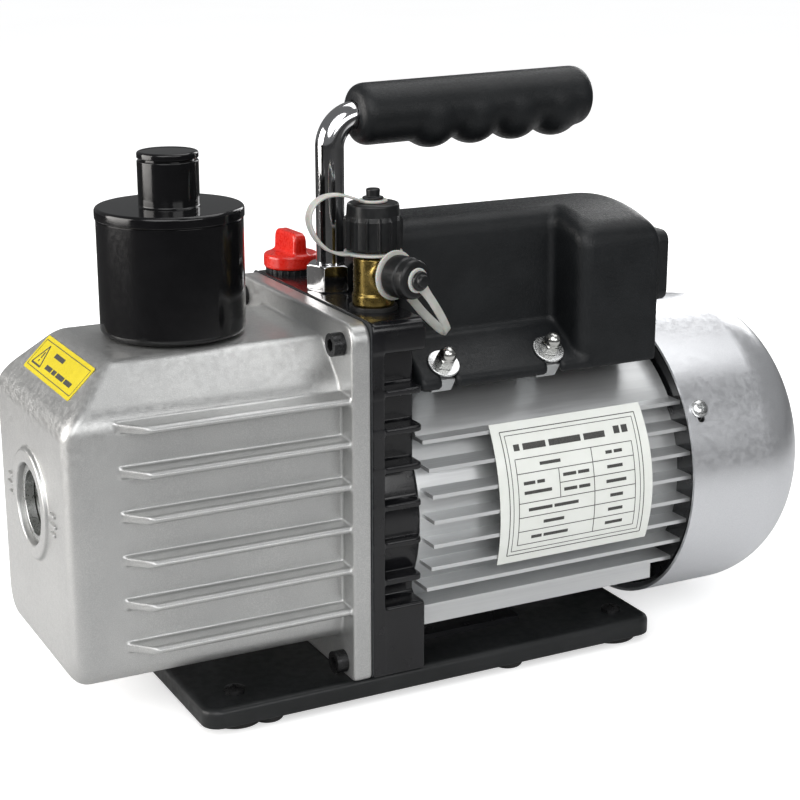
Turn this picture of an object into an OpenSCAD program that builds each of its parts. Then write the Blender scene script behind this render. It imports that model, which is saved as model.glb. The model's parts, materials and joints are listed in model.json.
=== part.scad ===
// Rotary vane vacuum pump, direct driven, single stage.
// The origin is on the floor under the rubber feet, at the centre of the pump's
// footprint. X runs along the shaft, from the oil casing (-X) to the fan cover (+X),
// Y = 0 is the plane of the shaft, and Z points up.
// Positions along the shaft are given from the joint between the casing gasket and
// the support casting; in_frame() moves every piece from there to the origin.

/* [Shaft line] */
// Height of the shaft centre above the floor
shaft_z = 80; // [79:0.5:81]
// Radius of the shaft in its two bearings
journal_r = 7.5; // [7:0.5:8]

/* [Base plate] */
// Height of the plate's top face
plate_top = 13; // [12:0.5:13]
// Front end of the plate
plate_front = -79; // [-85:1:-70]
// Rear end of the plate
plate_back = 153; // [148:1:158]
// Half of the plate's width
plate_half_w = 62; // [60:1:66]
// Height of the turned-down rim
rim_h = 9; // [8:1:10]
// Sheet thickness
sheet_t = 2; // [1.5:0.5:3]
// Corner radius seen from above
plate_corner = 8; // [5:1:12]

/* [Flange and support] */
// Half of the flange's width
flange_half_w = 63.5; // [62:0.5:65]
// Top of the flange and of the support casting
flange_top = 176; // [174:1:178]
// Thickness of the casing flange
flange_t = 9; // [7:1:10]
// Thickness of the gasket
gasket_t = 0.5; // [0.3:0.1:1]
// Depth of the support casting
support_depth = 26; // [25:1:28]

/* [Oil casing] */
// Front face of the casing
tank_front = -132.5; // [-136:0.5:-130]
// Half of the casing's width at its side walls
tank_half_w = 52; // [50:1:54]
// Underside of the casing
tank_bottom = 30; // [29:1:34]
// Height where the front face meets the sloped label face
tank_face_top = 143; // [140:1:146]
// Flat top of the casing
tank_top = 166; // [164:1:168]
// Outer corner radius
tank_round = 9; // [7:1:10]
// Casing wall thickness
tank_wall = 4.5; // [4:0.5:5]
// Number of ribs on each side
rib_count = 6; // [4:1:6]
// Reach of the ribs from the shaft plane
rib_reach = 62.5; // [60:0.5:63.5]

/* [Sight glass] */
// Height of the glass centre
glass_z = 98; // [94:1:102]
// Radius of the glass bore
glass_r = 17.8; // [15:0.1:18.5]
// Radius of the raised boss around it
boss_r = 24.5; // [22:0.5:26]

/* [Exhaust filter] */
// Distance of the filter's axis in front of the flange joint
filter_x = -65.3; // [-75:0.1:-60]
// Radius of the filter housing
filter_r = 31.7; // [28:0.1:33]
// Top of the filter housing
filter_top = 222.5; // [215:0.5:230]
// Radius of the outlet neck
neck_r = 13.2; // [11:0.1:15]
// Top of the outlet cap
outlet_top = 246; // [244:0.5:250]

/* [Motor] */
// Radius of the round motor body
body_r = 58; // [57:0.5:59]
// Radius of the circle that the fin tips lie on
fin_r = 69; // [67:0.5:70]
// Rear end of the motor housing
body_back = 166; // [165:0.5:167]
// Height of the uppermost fin
fin_top_z = 118.1; // [116:0.1:119]
// Distance from fin to fin
fin_pitch = 11.32; // [11:0.02:11.4]
// Thickness of a fin
fin_t = 1.8; // [1.4:0.1:2.2]

/* [Fan cover] */
// Open front end of the cover
cover_front = 164.4; // [164:0.1:165]
// Closed rear end of the cover
cover_back = 244.5; // [240:0.5:248]
// Outer radius of the cover
cover_r = 74; // [73.5:0.5:75]
// Radius of the rounding at the rear
cover_round = 38; // [30:1:40]

/* [Control box] */
// Top of the control box
box_top = 213; // [210:0.5:214]
// Lower edge of the control box
box_bottom = 141; // [140.5:0.5:142]
// Half width of the narrow front part
box_half_w = 34; // [33:0.5:36]
// Half width of the wide rear part
box_wide_half_w = 58; // [56:0.5:60]
// Position of the step from narrow to wide
box_step_x = 108; // [106:1:110]
// Rear wall of the box
box_back = 151; // [150:0.5:152]

/* [Handle] */
// Height of the grip's centre line
grip_z = 254.8; // [250:0.2:258]
// Radius of the grip
grip_r = 14; // [12.5:0.1:14.5]
// Front end of the grip
grip_front = 26; // [24:0.5:28]
// Rear end of the grip
grip_back = 148.5; // [140:0.5:155]
// Radius of the steel rod
rod_r = 6.5; // [5.5:0.5:6.5]
// Side offset of the rod from the shaft plane
rod_y = 6.7; // [4:0.1:9]

/* [Fittings] */
// Position of the fittings along the shaft
fitting_x = 14; // [13:0.5:15]
// Side offset of the inlet tee
tee_y = -36.7; // [-38:0.1:-34]
// Angle of the tee's side port away from square
port_turn = 15; // [0:1:20]
// Side offset of the gas ballast valve
ballast_y = 51.5; // [46:0.5:52]

/* [Hidden] */
$fn = 64;

boss_proud = 2;                      // how far the glass boss stands out of the casing
mid_x = (cover_back + tank_front - boss_proud) / 2;
fit_gap = 0.1;                       // radial room of a screw in its hole
run_gap = 0.05;                      // radial room of a running fit
round_fn = 32;                       // facets of the rounded shells
flange_back = -gasket_t;             // rear face of the casing flange
flange_front = flange_back - flange_t;
bolt_y = 53;                         // casing screws, from the shaft plane
bolt_low = plate_top + 7;
bolt_high = flange_top - 9.5;
bolt_r = 3;
bolt_depth = 9;                      // reach of the casing screws in the support
front_plate_t = 6.2;                 // solid front plate of the support casting
support_core = 51.5;                  // half width of the support's recessed core
support_hub = 58.5;                  // radius of the support's round hub
foot_block = 46;                     // top of the support's solid foot
head_block = 162;                    // underside of the support's solid head
support_fins = 6;
foot_places = [[-60, 46.5], [138, 46.5]];
bumper_places = [[-47, 52], [76, 52]];
foot_r = 12.5;
bumper_r = 7.5;
shoulder_half = 33;                  // half width of the casing's flat top
shoulder_low = 145;                  // height where shoulder and side wall meet
label_back = -109;                   // where the sloped label face meets the top
top_rib_z = 142.7;
rib_pitch = 19.28;
rib_t = 4;
ecc = 4;                             // offset of the pump bore from the shaft
pump_bore = 30;
pump_outer = 38;
pump_len = 46;
pump_end_t = 12;
rotor_clear = 0.05;
rotor_r = pump_bore - ecc - rotor_clear;
vane_t = 4;
vane_in = 14;                        // inner edge of a vane, from the shaft centre
slot_floor = 9;
valve_z = 120;                       // flat on top of the pump cylinder
seal_front = 4;
bearing_front = 12;
bearing_w = 11;
bearing_r = 17.5;
rear_bearing_x = 166;
body_front = support_depth;
body_bore = 52;
core_front = 50;
core_back = 130;
slots = 12;
fins = 8;
rail_low = 28.5;                     // lower rail of the housing, under the last fin
rail_reach = 51.5;
rail_ends = [28.5, 157];
saddle_half_w = 29.5;
shoulder_r = 63.5;                   // thicker wall above the top fins
cover_t = 1.4;
screw_turn = 61;                     // cover screws, from the vertical
skirt_r = 87.5;                      // outside of the box skirt, about the shaft
skirt_t = 3;
box_front = 27;
box_wall = 3;
box_round = 6;
crown_y = -18;                       // highest line of the arched lid
crown_r = 105;
stud_xs = [41, 95.3];
stud_turn = 36;                      // studs, from the vertical
stud_r = 2.5;
stud_root = 72;                      // inner end of the studs, from the shaft
lug_r = skirt_r - skirt_t - 0.5;     // outer face of the ears under the skirt
washer_t = 1;
panel_t = 6.5;
panel_z = 184.5;
rocker_y = -36;
inlet_y = 2;
rocker_tilt = 12;
bend_r = 14;
grip_rise = 1.3;                     // tilt of the grip, up to the rear
nut_h = 12.6;
nut_af = 19.5;
tee_top = 202;
port_z = 193;
cap_bottom = 203;

function fin_z(i) = fin_top_z - i * fin_pitch;
function fin_reach(z) = sqrt(fin_r * fin_r - (z - shaft_z) * (z - shaft_z));

module in_frame() {
    translate([-mid_x, 0, 0]) children();
}

// Extrudes an outline of (Y, Z) along X, from x0 to x1.
module along_x(x0, x1) {
    translate([x0, 0, 0]) rotate([90, 0, 90]) linear_extrude(x1 - x0) children();
}

// Round bar along the shaft's centre line.
module shaft_bar(x0, x1, r) {
    translate([x0, 0, shaft_z]) rotate([0, 90, 0]) cylinder(r = r, h = x1 - x0);
}

module bar_x(x0, x1, y, z, r) {
    translate([x0, y, z]) rotate([0, 90, 0]) cylinder(r = r, h = x1 - x0);
}

module bar_z(x, y, z0, z1, r) {
    translate([x, y, z0]) cylinder(r = r, h = z1 - z0);
}

// Rectangle with round corners, from its two opposite corners.
module round_rect(x0, y0, x1, y1, r) {
    translate([x0 + r, y0]) square([x1 - x0 - 2 * r, y1 - y0]);
    translate([x0, y0 + r]) square([x1 - x0, y1 - y0 - 2 * r]);
    for (x = [x0 + r, x1 - r], y = [y0 + r, y1 - r]) translate([x, y]) circle(r);
}

module hexagon(af) {
    circle(r = af / sqrt(3), $fn = 6);
}

module both_sides() {
    children();
    mirror([0, 1, 0]) children();
}

// Places children on a ray from the shaft, standing outward at radius r.
module on_ray(x, turn, r) {
    translate([x, 0, shaft_z]) rotate([turn, 0, 0]) translate([0, 0, r]) children();
}

// ---------- base ----------

module plate_outline(shrink) {
    round_rect(plate_front + shrink, -plate_half_w + shrink, plate_back - shrink,
               plate_half_w - shrink, plate_corner - shrink);
}

module base_plate() {
    color("#17181a") in_frame() difference() {
        translate([0, 0, plate_top - rim_h]) linear_extrude(rim_h) plate_outline(0);
        translate([0, 0, plate_top - rim_h - 1]) linear_extrude(rim_h - sheet_t + 1)
            plate_outline(sheet_t);
        for (p = foot_places, s = [-1, 1]) bar_z(p.x, s * p.y, 0, plate_top + 1, 2.6);
        for (s = [-1, 1]) bar_z(17, s * 48, 0, plate_top + 1, bolt_r + fit_gap);
        for (x = [44, 74]) bar_z(x, 0, 0, plate_top + 1, bolt_r + fit_gap);
    }
}

module foot(r) {
    cylinder(r = r - 0.6, h = 0.8);
    translate([0, 0, 0.8]) cylinder(r = r, h = 3);
    translate([0, 0, 3.8]) cylinder(r = r - 1.5, h = plate_top - sheet_t - 3.8);
}

module rubber_feet() {
    color("#101112") in_frame() {
        for (p = foot_places, s = [-1, 1]) translate([p.x, s * p.y, 0]) difference() {
            foot(foot_r);
            translate([0, 0, -1]) cylinder(r = 5, h = 4);
            cylinder(r = 2.6, h = plate_top);
        }
        for (p = bumper_places, s = [-1, 1]) translate([p.x, s * p.y, 0]) foot(bumper_r);
    }
}

// Pan head screw with a cross recess, head up, seat at z = 0.
module pan_screw(r, head_r, head_h, len) {
    difference() {
        union() {
            translate([0, 0, -len]) cylinder(r = r, h = len);
            intersection() {
                cylinder(r = head_r, h = head_h);
                translate([0, 0, head_h - 2.2 * head_r]) sphere(r = 2.2 * head_r);
            }
        }
        for (a = [0, 90]) rotate([0, 0, a])
            translate([-head_r / 2, -head_r / 10, head_h / 2]) cube([head_r, head_r / 5, head_h]);
    }
}

module foot_screws() {
    color("#2a2b2d") in_frame() {
        for (p = foot_places, s = [-1, 1]) translate([p.x, s * p.y, plate_top])
            pan_screw(2.5, 4.8, 2.8, 10);
    }
}

// Hexagon screw, head down, seat at the underside of the plate.
module hex_screw_up(r, len) {
    translate([0, 0, -4]) linear_extrude(4) hexagon(10);
    cylinder(r = r, h = len);
}

module base_screws() {
    color("#3a3b3d") in_frame() {
        for (s = [-1, 1]) translate([17, s * 48, plate_top - sheet_t]) hex_screw_up(bolt_r, 13);
        for (x = [44, 74]) translate([x, 0, plate_top - sheet_t]) hex_screw_up(bolt_r, 9);
    }
}

// ---------- support casting ----------

module flange_outline() {
    round_rect(-flange_half_w, plate_top, flange_half_w, flange_top, 3);
    translate([-flange_half_w, plate_top + 3]) square([2 * flange_half_w, 60]);
}

module flange_bolts(x0, x1, r) {
    for (s = [-1, 1], z = [bolt_low, bolt_high]) bar_x(x0, x1, s * bolt_y, z, r);
}

module support_body() {
    fin_low = foot_block + 11.5;
    fin_step = (144.2 - fin_low) / (support_fins - 1);
    along_x(0, front_plate_t) flange_outline();
    along_x(0, support_depth) {
        translate([-support_core, plate_top]) square([2 * support_core, flange_top - plate_top]);
        translate([-flange_half_w, plate_top]) square([2 * flange_half_w, foot_block - plate_top]);
        translate([-flange_half_w, head_block])
            square([2 * flange_half_w, flange_top - head_block]);
    }
    shaft_bar(0, support_depth, support_hub);
    for (i = [0 : support_fins - 1]) translate([0, 0, fin_low + i * fin_step])
        linear_extrude(3.2, center = true)
            round_rect(-2, -flange_half_w + 0.5, support_depth - 1.5, flange_half_w - 0.5, 2);
}

module support_casting() {
    color("#141517") in_frame() difference() {
        intersection() {
            support_body();
            translate([0, -100, 0]) cube([support_depth, 200, 200]);
        }
        flange_bolts(-1, bolt_depth, bolt_r + fit_gap);
        shaft_bar(-1, 30, 9);
        shaft_bar(seal_front, 30, 15);
        shaft_bar(bearing_front, bearing_front + bearing_w, bearing_r);
        shaft_bar(bearing_front + bearing_w, 30, 20);
        bar_z(fitting_x, tee_y, 100, flange_top + 1, 4);
        bar_z(fitting_x, tee_y, flange_top - 12, flange_top + 1, 6.6);
        bar_x(-1, fitting_x, tee_y, 100, 4);
        bar_z(fitting_x, rod_y, flange_top - 18, flange_top + 1, rod_r + run_gap);
        bar_z(fitting_x, ballast_y, flange_top - 14, flange_top + 1, 5);
        for (s = [-1, 1]) bar_z(17, s * 48, 0, plate_top + 12, bolt_r + fit_gap);
    }
}

// ---------- oil casing ----------

// Closed shell form of the casing; a smaller ball radius gives the inner form.
module tank_form(ball_r, back) {
    low_z = tank_bottom + tank_round;
    face_z = tank_face_top - 3.8;
    side_y = tank_half_w - tank_round;
    roof_y = shoulder_half - 3.9;
    roof_z = tank_top - tank_round;
    hull() for (s = [-1, 1]) {
        translate([tank_front + tank_round, s * side_y, low_z]) sphere(ball_r, $fn = round_fn);
        translate([tank_front + tank_round, s * side_y, face_z]) sphere(ball_r, $fn = round_fn);
        translate([label_back + 3.7, s * roof_y, roof_z]) sphere(ball_r, $fn = round_fn);
        for (p = [[side_y + 1, low_z], [side_y + 1, shoulder_low - 2.6], [roof_y - 2, roof_z]])
            translate([back - 1, s * p.x, p.y]) rotate([0, 90, 0])
                cylinder(r = ball_r, h = 1, $fn = round_fn);
    }
}

module casing_rib(z) {
    translate([0, 0, z]) linear_extrude(rib_t, center = true)
        polygon([[-110.5, 49], [-110.5, tank_half_w], [-100, rib_reach],
                 [flange_front + 1, rib_reach], [flange_front + 1, 49]]);
}

module level_marks() {
    for (s = [-1, 1], i = [-1 : 1])
        translate([tank_front - 0.8, s * 31 - 3.5, glass_z + i * 5 - 0.7]) cube([2, 7, 1.4]);
}

module oil_casing() {
    color("#b9bbba") in_frame() difference() {
        union() {
            tank_form(tank_round, flange_front + 3);
            along_x(flange_front, flange_back) flange_outline();
            both_sides() for (i = [0 : rib_count - 1]) casing_rib(top_rib_z - i * rib_pitch);
            bar_x(tank_front - boss_proud, tank_front + 3, 0, glass_z, boss_r);
            level_marks();
            bar_z(filter_x, 0, tank_top - 8, tank_top + 1, 19);
            bar_z(-112, 0, tank_bottom - 3, tank_bottom + 6, 11);
        }
        difference() {
            tank_form(tank_round - tank_wall, 2);
            bar_z(filter_x, 0, tank_top - 10, tank_top + 1, 17);
            bar_z(-112, 0, tank_bottom - 3, tank_bottom + 9, 11);
            bar_x(tank_front, tank_front + 9, 0, glass_z, boss_r - 1);
        }
        bar_x(tank_front - 3, tank_front + 12, 0, glass_z, glass_r);
        bar_z(filter_x, 0, tank_top - 14, tank_top + 2, 12);
        bar_z(-112, 0, tank_bottom - 4, tank_bottom + 12, 5);
        flange_bolts(flange_front - 1, 1, bolt_r + fit_gap);
    }
}

module casing_gasket() {
    color("#3b3f42") in_frame() difference() {
        along_x(flange_back, 0) flange_outline();
        tank_form(tank_round - tank_wall, 2);
        flange_bolts(-2, 1, bolt_r + fit_gap);
    }
}

// Socket head cap screw along +X, seat at x = 0.
module cap_screw(r, len) {
    difference() {
        union() {
            bar_x(-5.4, 0, 0, 0, 5.1);
            bar_x(0, len, 0, 0, r);
        }
        translate([-6, 0, 0]) rotate([0, 90, 0]) linear_extrude(3.4) hexagon(5);
    }
}

module casing_screws() {
    color("#1b1c1e") in_frame() for (s = [-1, 1], z = [bolt_low, bolt_high])
        translate([flange_front, s * bolt_y, z])
            cap_screw(bolt_r, bolt_depth - flange_front - 0.5);
}

module sight_glass() {
    color("#9fb3ad") in_frame() bar_x(tank_front + 5, tank_front + 8, 0, glass_z, glass_r - run_gap);
}

module sight_glass_ring() {
    color("#c9cacb") in_frame() difference() {
        bar_x(tank_front + 0.5, tank_front + 5, 0, glass_z, glass_r - run_gap);
        bar_x(tank_front - 1, tank_front + 6, 0, glass_z, glass_r - 3.6);
        for (a = [0 : 90 : 270]) translate([tank_front, 0, glass_z]) rotate([a + 45, 0, 0])
            translate([0, -1.5, glass_r - 3.2]) cube([2, 3, 2]);
    }
}

// Sticker on the sloped face above the front face.
module warning_label() {
    slope = atan2(tank_top - tank_face_top, label_back - tank_front);
    color("#f2df1c") in_frame() translate([tank_front, 0, tank_face_top]) rotate([0, -slope, 0])
        translate([0, 0, 0.05]) linear_extrude(0.25) round_rect(11.5, -33, 29, 31, 1);
}

module drain_plug() {
    bottom = tank_bottom - 4.5;
    color("#26282a") in_frame() {
        difference() {
            bar_z(-112, 0, bottom - 9, bottom, 9);
            for (i = [0 : 11]) translate([-112, 0, 0]) rotate([0, 0, i * 30])
                bar_z(9.6, 0, bottom - 10, bottom - 1, 1.2);
        }
        bar_z(-112, 0, bottom, tank_bottom + 6, 5 - fit_gap);
    }
}

module drain_seal() {
    color("#111111") in_frame() translate([0, 0, tank_bottom - 4.5]) difference() {
        bar_z(-112, 0, 0, 1.5, 8);
        bar_z(-112, 0, -1, 3, 5 + run_gap);
    }
}

// ---------- exhaust filter ----------

module filter_housing() {
    bottom = tank_top + 2;
    corner = 3;
    color("#121213") in_frame() translate([filter_x, 0, 0]) difference() {
        union() {
            rotate_extrude($fn = 96) {
                translate([0, bottom]) square([filter_r - corner, corner]);
                translate([filter_r - corner, bottom + corner]) circle(corner);
                translate([0, bottom + corner]) square([filter_r, filter_top - 5.5 - bottom - corner]);
            }
            translate([0, 0, tank_top - 12]) cylinder(r = 12 - fit_gap, h = 16);
        }
        translate([0, 0, bottom + 3]) cylinder(r = filter_r - 3, h = filter_top, $fn = 96);
        translate([0, 0, tank_top - 13]) cylinder(r = 8, h = 30);
    }
}

module filter_seal() {
    color("#101010") in_frame() translate([filter_x, 0, tank_top + 1]) difference() {
        cylinder(r = 17, h = 1);
        translate([0, 0, -1]) cylinder(r = 12 + run_gap, h = 3);
    }
}

module filter_element() {
    color("#e6e0cf") in_frame() translate([filter_x, 0, tank_top + 6]) difference() {
        cylinder(r = filter_r - 5, h = filter_top - tank_top - 16.5);
        translate([0, 0, -1]) cylinder(r = 10, h = 50);
    }
}

module filter_lid() {
    seam = filter_top - 5.5;
    color("#161617") in_frame() translate([filter_x, 0, 0]) difference() {
        rotate_extrude($fn = 96) {
            translate([0, seam]) square([filter_r - 0.3, 0.7]);
            translate([0, seam + 0.7]) square([filter_r + 0.5, 3.3]);
            translate([0, seam + 4]) square([filter_r - 1, 1.5]);
            translate([filter_r - 1, seam + 4]) circle(1.5);
            translate([0, seam - 4]) square([filter_r - 3 - run_gap, 4.2]);
            translate([0, filter_top]) square([neck_r, 19.5]);
        }
        translate([0, 0, seam - 5]) cylinder(r = 9.5, h = 60);
    }
}

module outlet_cap() {
    neck_top = filter_top + 19.5;
    color("#151516") in_frame() translate([filter_x, 0, 0]) {
        translate([0, 0, neck_top - 6]) cylinder(r = 9.5 - run_gap, h = 7.5);
        translate([0, 0, neck_top]) cylinder(r = neck_r - 1.6, h = 1);
        rotate_extrude() {
            translate([0, neck_top + 1]) square([neck_r, outlet_top - neck_top - 1.8]);
            translate([0, neck_top + 1]) square([neck_r - 0.8, outlet_top - neck_top - 1]);
            translate([neck_r - 0.8, outlet_top - 0.8]) circle(0.8);
        }
    }
}

// ---------- pump ----------

module pump_cylinder() {
    bore_z = shaft_z - ecc;
    color("#8d9093") in_frame() difference() {
        union() {
            bar_x(-pump_len, 0, 0, bore_z, pump_outer);
            translate([-pump_len, -22, bore_z]) cube([pump_len, 44, valve_z - bore_z]);
        }
        bar_x(-pump_len - 1, 1, 0, bore_z, pump_bore);
        bar_z(-34, 9, bore_z, valve_z + 1, 3);
        bar_x(-12, 1, tee_y, 100, 4);
        bar_z(-8, 9, valve_z - 8, valve_z + 1, 1.5 + fit_gap);
        pump_screw_places() bar_x(-pump_len - 1, 1, 0, 0, 2.5 + fit_gap);
    }
}

module pump_screw_places() {
    ring = (pump_bore + pump_outer) / 2;
    for (a = [45 : 90 : 315]) translate([0, ring * cos(a), shaft_z - ecc + ring * sin(a)])
        children();
}

module pump_end_cover() {
    x0 = -pump_len - pump_end_t;
    color("#85888b") in_frame() difference() {
        bar_x(x0, -pump_len, 0, shaft_z - ecc, pump_outer);
        shaft_bar(x0 + 3, 0, 7 + run_gap);
        pump_screw_places() bar_x(x0 - 1, 1, 0, 0, 2.5 + fit_gap);
    }
}

module pump_screws() {
    x0 = -pump_len - pump_end_t;
    color("#3c3d40") in_frame() pump_screw_places() translate([x0, 0, 0]) {
        difference() {
            bar_x(-5, 0, 0, 0, 4.2);
            translate([-6, 0, 0]) rotate([0, 90, 0]) linear_extrude(3.5) hexagon(4);
        }
        bar_x(0, -x0 - 0.1, 0, 0, 2.5);
    }
}

module vane_slots(t, inner) {
    both_sides() translate([-pump_len - 1, inner, shaft_z - t / 2])
        cube([pump_len + 2, pump_bore, t]);
}

module pump_rotor() {
    color("#6f7275") in_frame() difference() {
        shaft_bar(-pump_len + 0.1, -0.1, rotor_r);
        shaft_bar(-pump_len - 1, 1, 7);
        vane_slots(vane_t + 0.1, slot_floor);
    }
}

module vanes() {
    color("#5a4a33") in_frame() both_sides()
        translate([-pump_len + 0.2, vane_in, shaft_z - vane_t / 2])
            cube([pump_len - 0.4, rotor_r - 0.3 - vane_in, vane_t]);
}

// Small compression spring along +Z, simplified to closed coils on two struts.
module coil(r, wire, h, turns) {
    step = (h - 2 * wire) / turns;
    for (i = [0 : turns]) translate([0, 0, wire + i * step])
        rotate_extrude() translate([r, 0]) circle(wire, $fn = 16);
    for (s = [-1, 1]) translate([s * r, 0, wire]) cylinder(r = wire / 2, h = h - 2 * wire);
}

module vane_springs() {
    color("#b0b3b5") in_frame() both_sides() for (x = [-34, -12])
        translate([x, slot_floor + 0.1, shaft_z]) rotate([-90, 0, 0])
            coil(1.3, 0.35, vane_in - slot_floor - 0.2, 4);
}

module exhaust_reed() {
    color("#9da3a8") in_frame() {
        translate([-40, 3.5, valve_z + 0.02]) cube([28, 11, 0.4]);
        translate([-12, 14.5, valve_z + 0.32]) rotate([90, 0, 0]) cylinder(r = 0.3, h = 11);
    }
}

module reed_stop() {
    color("#a8aaac") in_frame() {
        difference() {
            translate([-11.5, 3.5, valve_z]) cube([9.5, 11, 4]);
            bar_z(-8, 9, valve_z - 1, valve_z + 5, 1.5 + fit_gap);
        }
        translate([-40, 3.5, valve_z + 4]) cube([38, 11, 1.5]);
        translate([-8, 9, valve_z + 5.5]) pan_screw(1.5, 2.9, 1.8, 0.1);
        bar_z(-8, 9, valve_z - 7, valve_z + 4.1, 1.5);
    }
}

module shaft_seal() {
    color("#7a3b22") in_frame() difference() {
        shaft_bar(seal_front, seal_front + 7, 15 - run_gap);
        shaft_bar(0, seal_front + 6, 11);
        shaft_bar(0, 20, 7 + run_gap);
    }
    color("#7a3b22") in_frame() difference() {
        shaft_bar(seal_front, seal_front + 6.5, 9);
        shaft_bar(0, 20, 7 + run_gap);
    }
}

// ---------- shaft and bearings ----------

module drive_shaft() {
    color("#c3c6c8") in_frame() {
        shaft_bar(-pump_len - 8, bearing_front, 7);
        shaft_bar(bearing_front, 26, journal_r);
        shaft_bar(26, 164, 9);
        shaft_bar(164, 180, journal_r);
        shaft_bar(180, 208, 6);
    }
}

module bearing(x0) {
    ball_ring = (journal_r + bearing_r) / 2;
    color("#aeb2b5") in_frame() {
        difference() {
            shaft_bar(x0, x0 + bearing_w, bearing_r);
            shaft_bar(x0 - 1, x0 + bearing_w + 1, bearing_r - 3);
        }
        difference() {
            shaft_bar(x0, x0 + bearing_w, journal_r + 3);
            shaft_bar(x0 - 1, x0 + bearing_w + 1, journal_r + run_gap / 2);
        }
        difference() {
            shaft_bar(x0 + 2, x0 + bearing_w - 2, bearing_r - 2);
            shaft_bar(x0 - 1, x0 + bearing_w + 1, ball_ring - 3);
        }
        for (a = [0 : 45 : 315]) translate([x0 + bearing_w / 2, ball_ring * cos(a),
            shaft_z + ball_ring * sin(a)]) sphere(3.2);
    }
}

module front_bearing() {
    bearing(bearing_front);
}

module rear_bearing() {
    bearing(rear_bearing_x);
}

// ---------- motor ----------

module housing_section() {
    translate([0, shaft_z]) circle(body_r, $fn = 128);
    for (i = [0 : fins - 1]) translate([-fin_reach(fin_z(i)), fin_z(i) - fin_t / 2])
        square([2 * fin_reach(fin_z(i)), fin_t]);
}

module stud_holes(r, r0, r1) {
    for (x = stud_xs, s = [-1, 1]) on_ray(x, s * stud_turn, r0) cylinder(r = r, h = r1 - r0);
}

// Ears that reach up behind the box skirt and carry the studs.
module stud_lugs() {
    function at(turn, r, side) = [
        r * sin(turn) + side * cos(turn), shaft_z + r * cos(turn) - side * sin(turn)
    ];
    outline = [
        at(stud_turn, lug_r, 6), at(stud_turn, lug_r, -6), at(12, shoulder_r - 2, 0),
        at(28, shoulder_r - 2, 0), at(stud_turn, lug_r - 8, 6)
    ];
    for (x = stud_xs, s = [-1, 1]) along_x(x - 5, x + 5)
        polygon([for (p = outline) [s * p.x, p.y]]);
}

module motor_housing() {
    color("#c7cacb") in_frame() difference() {
        union() {
            along_x(body_front + 1.5, body_back) housing_section();
            along_x(rail_ends[0], rail_ends[1]) translate([-rail_reach, rail_low])
                square([2 * rail_reach, fin_z(fins - 1) - rail_low]);
            shaft_bar(body_front, body_back, body_r);
            intersection() {
                shaft_bar(body_front + 2, body_back - 1.5, shoulder_r);
                translate([body_front, -80, fin_top_z])
                    cube([body_back - body_front, 160, box_bottom - fin_top_z]);
            }
            stud_lugs();
            translate([box_front, -saddle_half_w, shaft_z])
                cube([box_back - box_front, 2 * saddle_half_w, box_bottom - shaft_z]);
        }
        shaft_bar(body_front - 1, body_back + 1, body_bore);
        stud_holes(stud_r + fit_gap, stud_root - 0.4, 90);
    }
}

module motor_cradle() {
    color("#101112") in_frame() difference() {
        union() {
            translate([30, -36, plate_top]) cube([62, 72, 2.5]);
            translate([34, -26, plate_top]) cube([50, 52, rail_low - plate_top - run_gap]);
        }
        shaft_bar(20, 100, body_r + run_gap);
        for (x = [44, 74]) bar_z(x, 0, plate_top - 1, plate_top + 9, bolt_r + fit_gap);
    }
}

module slot_bars(x0, x1, r) {
    for (i = [0 : slots - 1]) rotate_about_shaft(i * 360 / slots)
        bar_x(x0, x1, 0, shaft_z + 38, r);
}

module rotate_about_shaft(turn) {
    translate([0, 0, shaft_z]) rotate([turn, 0, 0]) translate([0, 0, -shaft_z]) children();
}

module stator_core() {
    color("#55585b") in_frame() difference() {
        shaft_bar(core_front, core_back, body_bore);
        shaft_bar(core_front - 1, core_back + 1, 30.5);
        slot_bars(core_front - 1, core_back + 1, 5);
    }
}

module stator_windings() {
    color("#a5522a") in_frame() {
        for (x = [core_front - 12, core_back]) difference() {
            shaft_bar(x, x + 12, 45);
            shaft_bar(x - 1, x + 13, 31.5);
        }
        slot_bars(core_front - 1, core_back + 1, 5 - fit_gap);
    }
}

module motor_rotor() {
    color("#7c8083") in_frame() difference() {
        union() {
            shaft_bar(core_front, core_back, 30);
            shaft_bar(core_front - 5, core_back + 5, 27);
        }
        shaft_bar(core_front - 6, core_back + 6, 9);
    }
}

module cover_screw_places() {
    for (a = [-screw_turn, screw_turn, 180]) on_ray(171.6, a, 0) children();
}

module end_shield() {
    color("#141516") in_frame() difference() {
        union() {
            shaft_bar(body_back, 172, 70);
            shaft_bar(body_back - 4, 178, 24);
            difference() {
                shaft_bar(body_back - 4, body_back + 1, body_bore - run_gap);
                shaft_bar(body_back - 5, body_back + 2, body_bore - 5);
            }
            cover_screw_places() translate([0, 0, 60]) cylinder(r = 5, h = 12.3);
        }
        shaft_bar(body_back - 5, body_back + 0.05, 10);
        shaft_bar(rear_bearing_x, rear_bearing_x + bearing_w, bearing_r);
        shaft_bar(rear_bearing_x, 180, 14);
        for (a = [0 : 60 : 300]) rotate_about_shaft(a + 30)
            bar_x(body_back - 1, 180, 0, shaft_z + 38, 8);
        cover_screw_places() translate([0, 0, 58]) cylinder(r = 2 + fit_gap, h = 16);
    }
}

module cooling_fan() {
    color("#26292b") in_frame() difference() {
        union() {
            shaft_bar(184, 207, 13);
            shaft_bar(184, 187, 34);
            for (i = [0 : 6]) rotate_about_shaft(i * 360 / 7)
                translate([184, -1.2, shaft_z + 10]) cube([20, 2.4, 54]);
        }
        shaft_bar(183, 209, 6);
    }
}

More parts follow.
